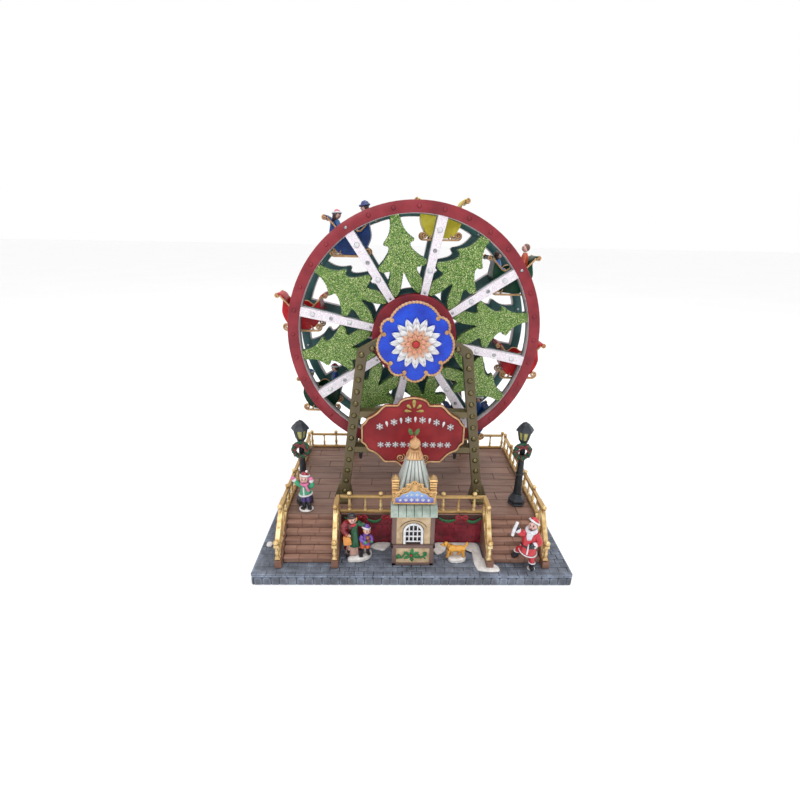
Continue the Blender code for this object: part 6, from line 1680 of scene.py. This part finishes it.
def man():
    """A man in a red coat, scarf and belt who steps onto the flight and lifts a white roll of paper."""
    y, red, dark = 10.8, (206, 46, 60), (42, 44, 52)
    body = [(8.3, 0), (8.5, 1.4), (7.4, 4.4), (6.5, 8), (6.8, 12.4), (7.0, 16.4), (6.4, 21), (3.0, 25.4)]
    made = [cloth(114.6, y, 33.0, body, red, 0.03, 0.88, 7)]
    made.append(fur(hoop(114.6, y, 33.6, 8.7, 7.7, -1.4, -1.6), 0.62, loop=True, ref=(0, 0, 1)))
    made.append(fur([(111.4, y - 6.9, 34.6), (112.0, y - 6.6, 40), (112.2, y - 6.4, 46)], 0.75))
    made.append(ring(hoop(114.8, y, 41.2, 7.0, 6.2, -0.4), 0.85, dark, 8))
    made.append(limb([(118, y, 35), (119.6, y - 0.6, 27.4), (120.0, y - 1.2, 20.6)], (3.5, 3.1, 2.7), red))
    made.append(fur(hoop(120.0, y - 1.2, 20.4, 2.9, 2.7), 0.7, loop=True, ref=(0, 0, 1)))
    made += boot(120.2, y - 0.8, 13.0, 4.6, -10, dark, 1.5)
    flap = [(111.0, y + 0.6, 35.4), (107.0, y + 3.6, 32.8), (107.4, y + 8.2, 28.0)]
    made.append(limb(flap, (3.7, 3.4, 2.7), red))
    made.append(fur(hoop(107.0, y + 8.6, 26.8, 2.8, 2.6), 0.7, loop=True, ref=(0, 0, 1)))
    made += boot(106.8, y + 9.2, 19.0, 4.8, -75, dark, 1.4)
    made += arm((110.4, y - 0.4, 56.0), (105.2, y - 1.2, 55.2), (99.8, y - 2.2, 61.6), 2.9, red, FLUFF, dark)
    made += arm((120.0, y - 0.6, 55.0), (124.0, y - 3.4, 46.0), (115.6, y - 7.4, 44.8), 3.1, red, FLUFF, dark)
    paper = [(96.0, y - 3.4, 54.6), (97.4, y - 3.4, 62.6), (99.6, y - 3.2, 69.6)]
    made.append(limb(paper, (1.5, 1.7, 1.4), (240, 240, 244)))
    scarf = (222, 224, 230)
    made.append(ring(hoop(115.0, y - 0.9, 59.0, 3.9, 3.6, 0.5, -0.8), 2.3, scarf, 14))
    made.append(cloth(112.6, y - 5.0, 49.6, [(1.0, 0), (2.4, 1.2), (3.2, 5), (3.0, 9)], scarf, 0.08, 0.5, 7))
    made += head(115.6, y - 1.4, 65.2, 4.2, (118, 84, 62), -34)
    made += cap(117.4, y + 0.6, 67.6, 4.4, (200, 44, 58), FLUFF, 0.55, None, 0.3, -0.7)
    return made


def dog():
    """A yellow dog in profile, walking to the left with its tail up."""
    y, coat = 24.0, (232, 166, 62)
    body = [(37.6, y, 25.4), (41, y, 25.6), (46, y, 25.2), (51, y, 25.6), (53.8, y, 25.2)]
    neck = [(38.4, y, 27), (36.6, y - 0.2, 29.6), (35.4, y - 0.3, 31)]
    ear = [(36.0, y - 2.2, 32.6), (37.2, y - 2.7, 30.8), (36.9, y - 2.5, 28.8)]
    tail = [(53.2, y, 26.6), (55.4, y, 29.2), (56.4, y, 32.6)]
    made = [limb(body, (3.2, 3.7, 3.0, 3.3, 2.6), coat, 18), limb(neck, (2.6, 2.3, 2.2), coat, 14),
            ball((34.6, y - 0.4, 31.2), (2.9, 2.3, 2.6), 18, hue(*coat)),
            limb([(33.4, y - 0.4, 30.6), (29.9, y - 0.4, 29.9)], (1.7, 1.25), coat),
            ball((29.2, y - 0.5, 30.5), 0.55, 8, hue(70, 44, 34)),
            ball((33.0, y - 2.5, 31.6), 0.4, 8, hue(56, 36, 30)),
            limb(ear, (1.0, 1.2, 0.8), (206, 146, 64)), limb(tail, (1.3, 1.25, 1.0), coat)]
    for x, side, foot in ((37.2, -1.7, 36.4), (40.9, 1.7, 41.4), (52.4, -1.7, 53.8), (50.4, 1.7, 48.4)):
        leg = [(x, y + side, 25.0), (x, y + side, 20.4), (foot, y + side, 16.4)]
        made.append(limb(leg, (2.0, 1.5, 1.15), coat))
        made.append(ball((foot - 0.5, y + side, 16.4), (1.5, 1.2, 0.9), 10, hue(*coat)))
    return made


def passenger(x, lift, coat, hat, hair, brim=False):
    """A seated passenger who looks across the gondola, about the pin: coat, arms on the rail, head, hat."""
    toward = 1 if x < 0 else -1
    body = [(3.0, 0), (4.2, 6), (4.2, 12 + lift * 0.6), (3.9, 18 + lift), (2.0, 22.6 + lift)]
    made = [cloth(x, 0, -11.4, body, coat, 0.04, 1.0, 8)]
    for side in (-1, 1):
        made += arm((x, side * 3.4, 7.6 + lift), (x + 2.2 * toward, side * 5.4, 1.6 + lift * 0.5),
                    (x + 6.6 * toward, side * 4.4, 0.6), 1.6, coat, coat, FLESH)
    made += head(x + 0.3 * toward, 0, 15.4 + lift, 3.5, hair, 77.4 * toward, long_hair=x < 0)
    if brim:
        made.append(ring(hoop(x, 0, 18.2 + lift, 4.9, 4.7, -0.8 * toward), 1.0, hat, 8))
        crown = [(4.2, 0), (4.3, 2.0), (3.2, 4.0), (0.3, 5.2)]
        made.append(cloth(x - 0.3 * toward, 0, 17.6 + lift, crown, hat, 0.05, 1.0, 5))
    elif hat:
        made += cap(x, 0, 17.4 + lift, 4.0, hat, FLUFF, -0.2 * toward)
    return made


skin_paint = painted("figure_enamel", (218, 218, 220), (238, 238, 240), (255, 255, 255), size=3,
                     rough=(0.28, 0.45), grain=0.3, bump=0.02, wash_and_shade=(60, 34, 38), wash_and_shade_reach=0.7, tinted=True,
                     coat=0.12)
drift = painted("snow_paint", (212, 207, 203), (230, 226, 222), (246, 243, 241), size=4,
                rough=(0.6, 0.8), grain=0.8, bump=0.2, wash_and_shade=(150, 146, 150), wash_and_shade_reach=0.8)
for name, shapes, cover in (("child", waving_child(), "figure_child"),
                            ("woman", woman() + small_child(), "figure_woman_and_child"),
                            ("man", man(), "figure_man"), ("dog", dog(), "figure_dog")):
    piece(f"painted_{name}", shapes, skin_paint, "stand", [cover], sharp=60)
shared_patch = [(-66.0, 17.8), (-52.1, 18.6), (-44.0, 23.0), (-41.0, 30.6), (-46.0, 37.6), (-60, 36.6),
                (-67.6, 29)]
patches = [(oval(-113.0, 56.2, 8.2, 5.6), 50.0, 52.0), (shared_patch, ON_BASE, 16.6),
           (oval(120.0, 10.0, 4.6, 3.8), ON_BASE, 13.2), (oval(46.0, 23.6, 9.8, 6.6), ON_BASE, 16.2)]
piece("figure_snow", [snow(*patch) for patch in patches], drift, "stand", sharp=70)
PASSENGERS = {1: (((44, 110, 190), None, (70, 46, 40)), ((212, 92, 60), None, (112, 68, 54))),
              3: (((36, 96, 160), (206, 84, 112), (92, 68, 62)), ((56, 76, 128), (58, 76, 132), (84, 58, 52))),
              5: (((38, 92, 170), (40, 120, 200), (120, 84, 66)), ((30, 68, 140), (150, 36, 52), (88, 60, 50))),
              7: (((170, 34, 50), (40, 86, 160), (90, 60, 50)), ((36, 88, 160), (46, 92, 150), (84, 58, 52)))}
for i, (left, right) in PASSENGERS.items():
    seat = [bar((-8.6, 8.6), (-9, 9), (-19.8, -11.2), hue(94, 44, 50))]
    pair = passenger(-14, 0, *left) + passenger(14.2, 7, *right, brim=i == 3)
    piece(f"passengers_{i}", carried(seat + pair, *pin_place(i)), skin_paint, f"gondola_{i}",
          [f"riders_{i}"], sharp=60)

# Snow on the base and garlands on the wall
# Low drifts of moulded snow lie against the wall, and swags of fir tied with red bows hang from the deck's
# edge. All of it is cast with the base and the wall, and painted.
DRIFTS = (((-45.1, 41.5), (-40, 47.6), (-35.7, 49.0), (-22.7, 48.9), (-21.4, 47), (-25, 41), (-29.7, 35.5),
           (-38, 38)),
          ((25.8, 49), (22.4, 42), (23, 36.2), (26.2, 29), (31, 31.6), (36.6, 36.2), (38.4, 47), (37.6, 49)),
          ((38, 49), (44, 46.6), (54, 47), (63, 48), (65.2, 42.9), (63.6, 27.6), (63.4, 14), (65.4, 6.4),
           (78, 4.6), (88, 5.4), (88, 12), (76, 14), (73.4, 24), (73.4, 43), (71, 49)),
          ((-155.6, 42), (-149.6, 41), (-148.6, 47), (-152, 50.4), (-156, 48)))
SWAGS = ((-71.7, -56.4, 3.2), (-48.6, -31, 5.4), (28.6, 49.6, 4.6), (56.2, 73.8, 5.6))
BOWS = ((-53.8, 47.0), (-25.6, 47.2), (52.9, 47.0))


def swag(left, right, drop):
    """A hanging rope of fir needles between two points: a parabola, thick with tufts."""
    share = np.linspace(0, 1, 60)
    sag = 4 * drop * share * (1 - share)
    middle = np.stack((left + (right - left) * share, np.full(60, 47.8), 45.9 - sag), -1)
    needle = random_mark(np.arange(60)[:, None], np.arange(12)[None])
    turn = np.linspace(0, 2 * math.pi, 12, endpoint=False)
    reach = (1.3 + 0.8 * needle) * np.sin(math.pi * np.clip(share, 0.06, 0.94))[:, None] ** 0.4
    return swept(middle, np.stack((reach * np.cos(turn), 0.7 * reach * np.sin(turn)), -1))


def bow(x, z):
    """Two loops, a knot and two tails of flat ribbon against the wall."""
    share, flat, made = np.linspace(0, 1, 22), round_section(1.5, 8, 0.3), []
    for hand in (-1, 1):
        loop = np.stack((x + hand * 5.8 * np.sin(math.pi * share), 47.0 - 1.2 * np.sin(math.pi * share),
                         z + 1.9 * np.sin(2 * math.pi * share)), -1)
        made.append(swept(loop, flat, ref=(0, 1, 0.2)))
        tail = np.stack((x + hand * (1 + 5.6 * share), 47.2 - 0.4 * np.sin(5 * share), z - 1 - 5.4 * share), -1)
        made.append(swept(tail, flat, ref=(0, 1, 0.2), scale=1.1 - 0.2 * share))
    return made + [ball((x, 46.2, z), (1.5, 1.1, 1.5), 12)]


garland = painted("garland_green", (24, 80, 48), (38, 108, 64), (62, 136, 84), size=1.4, rough=(0.5, 0.7),
                  grain=0.3, bump=0.05)
bow_red = painted("bow_red", (128, 26, 38), (158, 38, 50), (182, 54, 64), size=2, rough=(0.35, 0.5),
                  grain=0.3, bump=0.02)
piece("base_snow", [snow(np.array(edge), 12.0, 13.6) for edge in DRIFTS], drift, "stand",
      sharp=70)
piece("wall_swags", [swag(*span) for span in SWAGS], garland, "stand", sharp=70)
piece("wall_bows", [s for place in BOWS for s in bow(*place)], bow_red, "stand")

# Floor, light and camera
# A pale floor under soft studio light: one wide lamp above, one in front and one on each side.
floor = bpy.data.meshes.new("floor")
floor.from_pydata([(-40, -40, 0), (40, -40, 0), (40, 40, 0), (-40, 40, 0)], [], [(0, 1, 2, 3)])
floor.materials.append(painted("floor_paper", (275.2,) * 3, (276.2,) * 3, (277.2,) * 3, size=400,
                               rough=(0.8, 0.9), bump=0.0))
paper = bpy.data.objects.new("floor", floor)
bpy.context.scene.collection.objects.link(paper)

world = bpy.context.scene.world or bpy.data.worlds.new("studio")
bpy.context.scene.world = world
world.use_nodes = True
world.node_tree.nodes["Background"].inputs[0].default_value = (1.0, 1.0, 1.0, 1)
world.node_tree.nodes["Background"].inputs[1].default_value = 1.0
for name, place, size, power in (("top", (0.2, -0.2, 1.6), 0.9, 10.0), ("front", (-0.5, -1.5, 1.1), 0.6, 5.0),
                                 ("left", (-1.6, 0.3, 0.9), 1.2, 2.0), ("right", (1.6, 0.5, 1.0), 1.2, 2.0)):
    light = bpy.data.lights.new(name, "AREA")
    light.energy, light.size = power, size
    lamp = bpy.data.objects.new(name, light)
    lamp.location = place
    lamp.rotation_euler = (Vector(place) - Vector((0, 0, 0.15))).to_track_quat("Z", "Y").to_euler()
    bpy.context.scene.collection.objects.link(lamp)

YAW, PITCH, ROLL = math.radians(-1.21), math.radians(20.38), math.radians(0.99)
camera = bpy.data.objects.new("camera", bpy.data.cameras.new("camera"))
camera.data.sensor_width, camera.data.lens = 36, 19.598
camera.location = (-0.02299, -0.44735, 0.32399)
turns = [Matrix.Rotation(angle, 3, axis)
         for angle, axis in ((YAW, "Z"), (math.pi / 2 - PITCH, "X"), (ROLL, "Z"))]
camera.rotation_euler = (turns[0] @ turns[1] @ turns[2]).to_euler()
camera.data.clip_start, camera.data.clip_end = 0.01, 20
bpy.context.scene.collection.objects.link(camera)
bpy.context.scene.camera = camera
bpy.context.scene.view_settings.view_transform = "Standard"
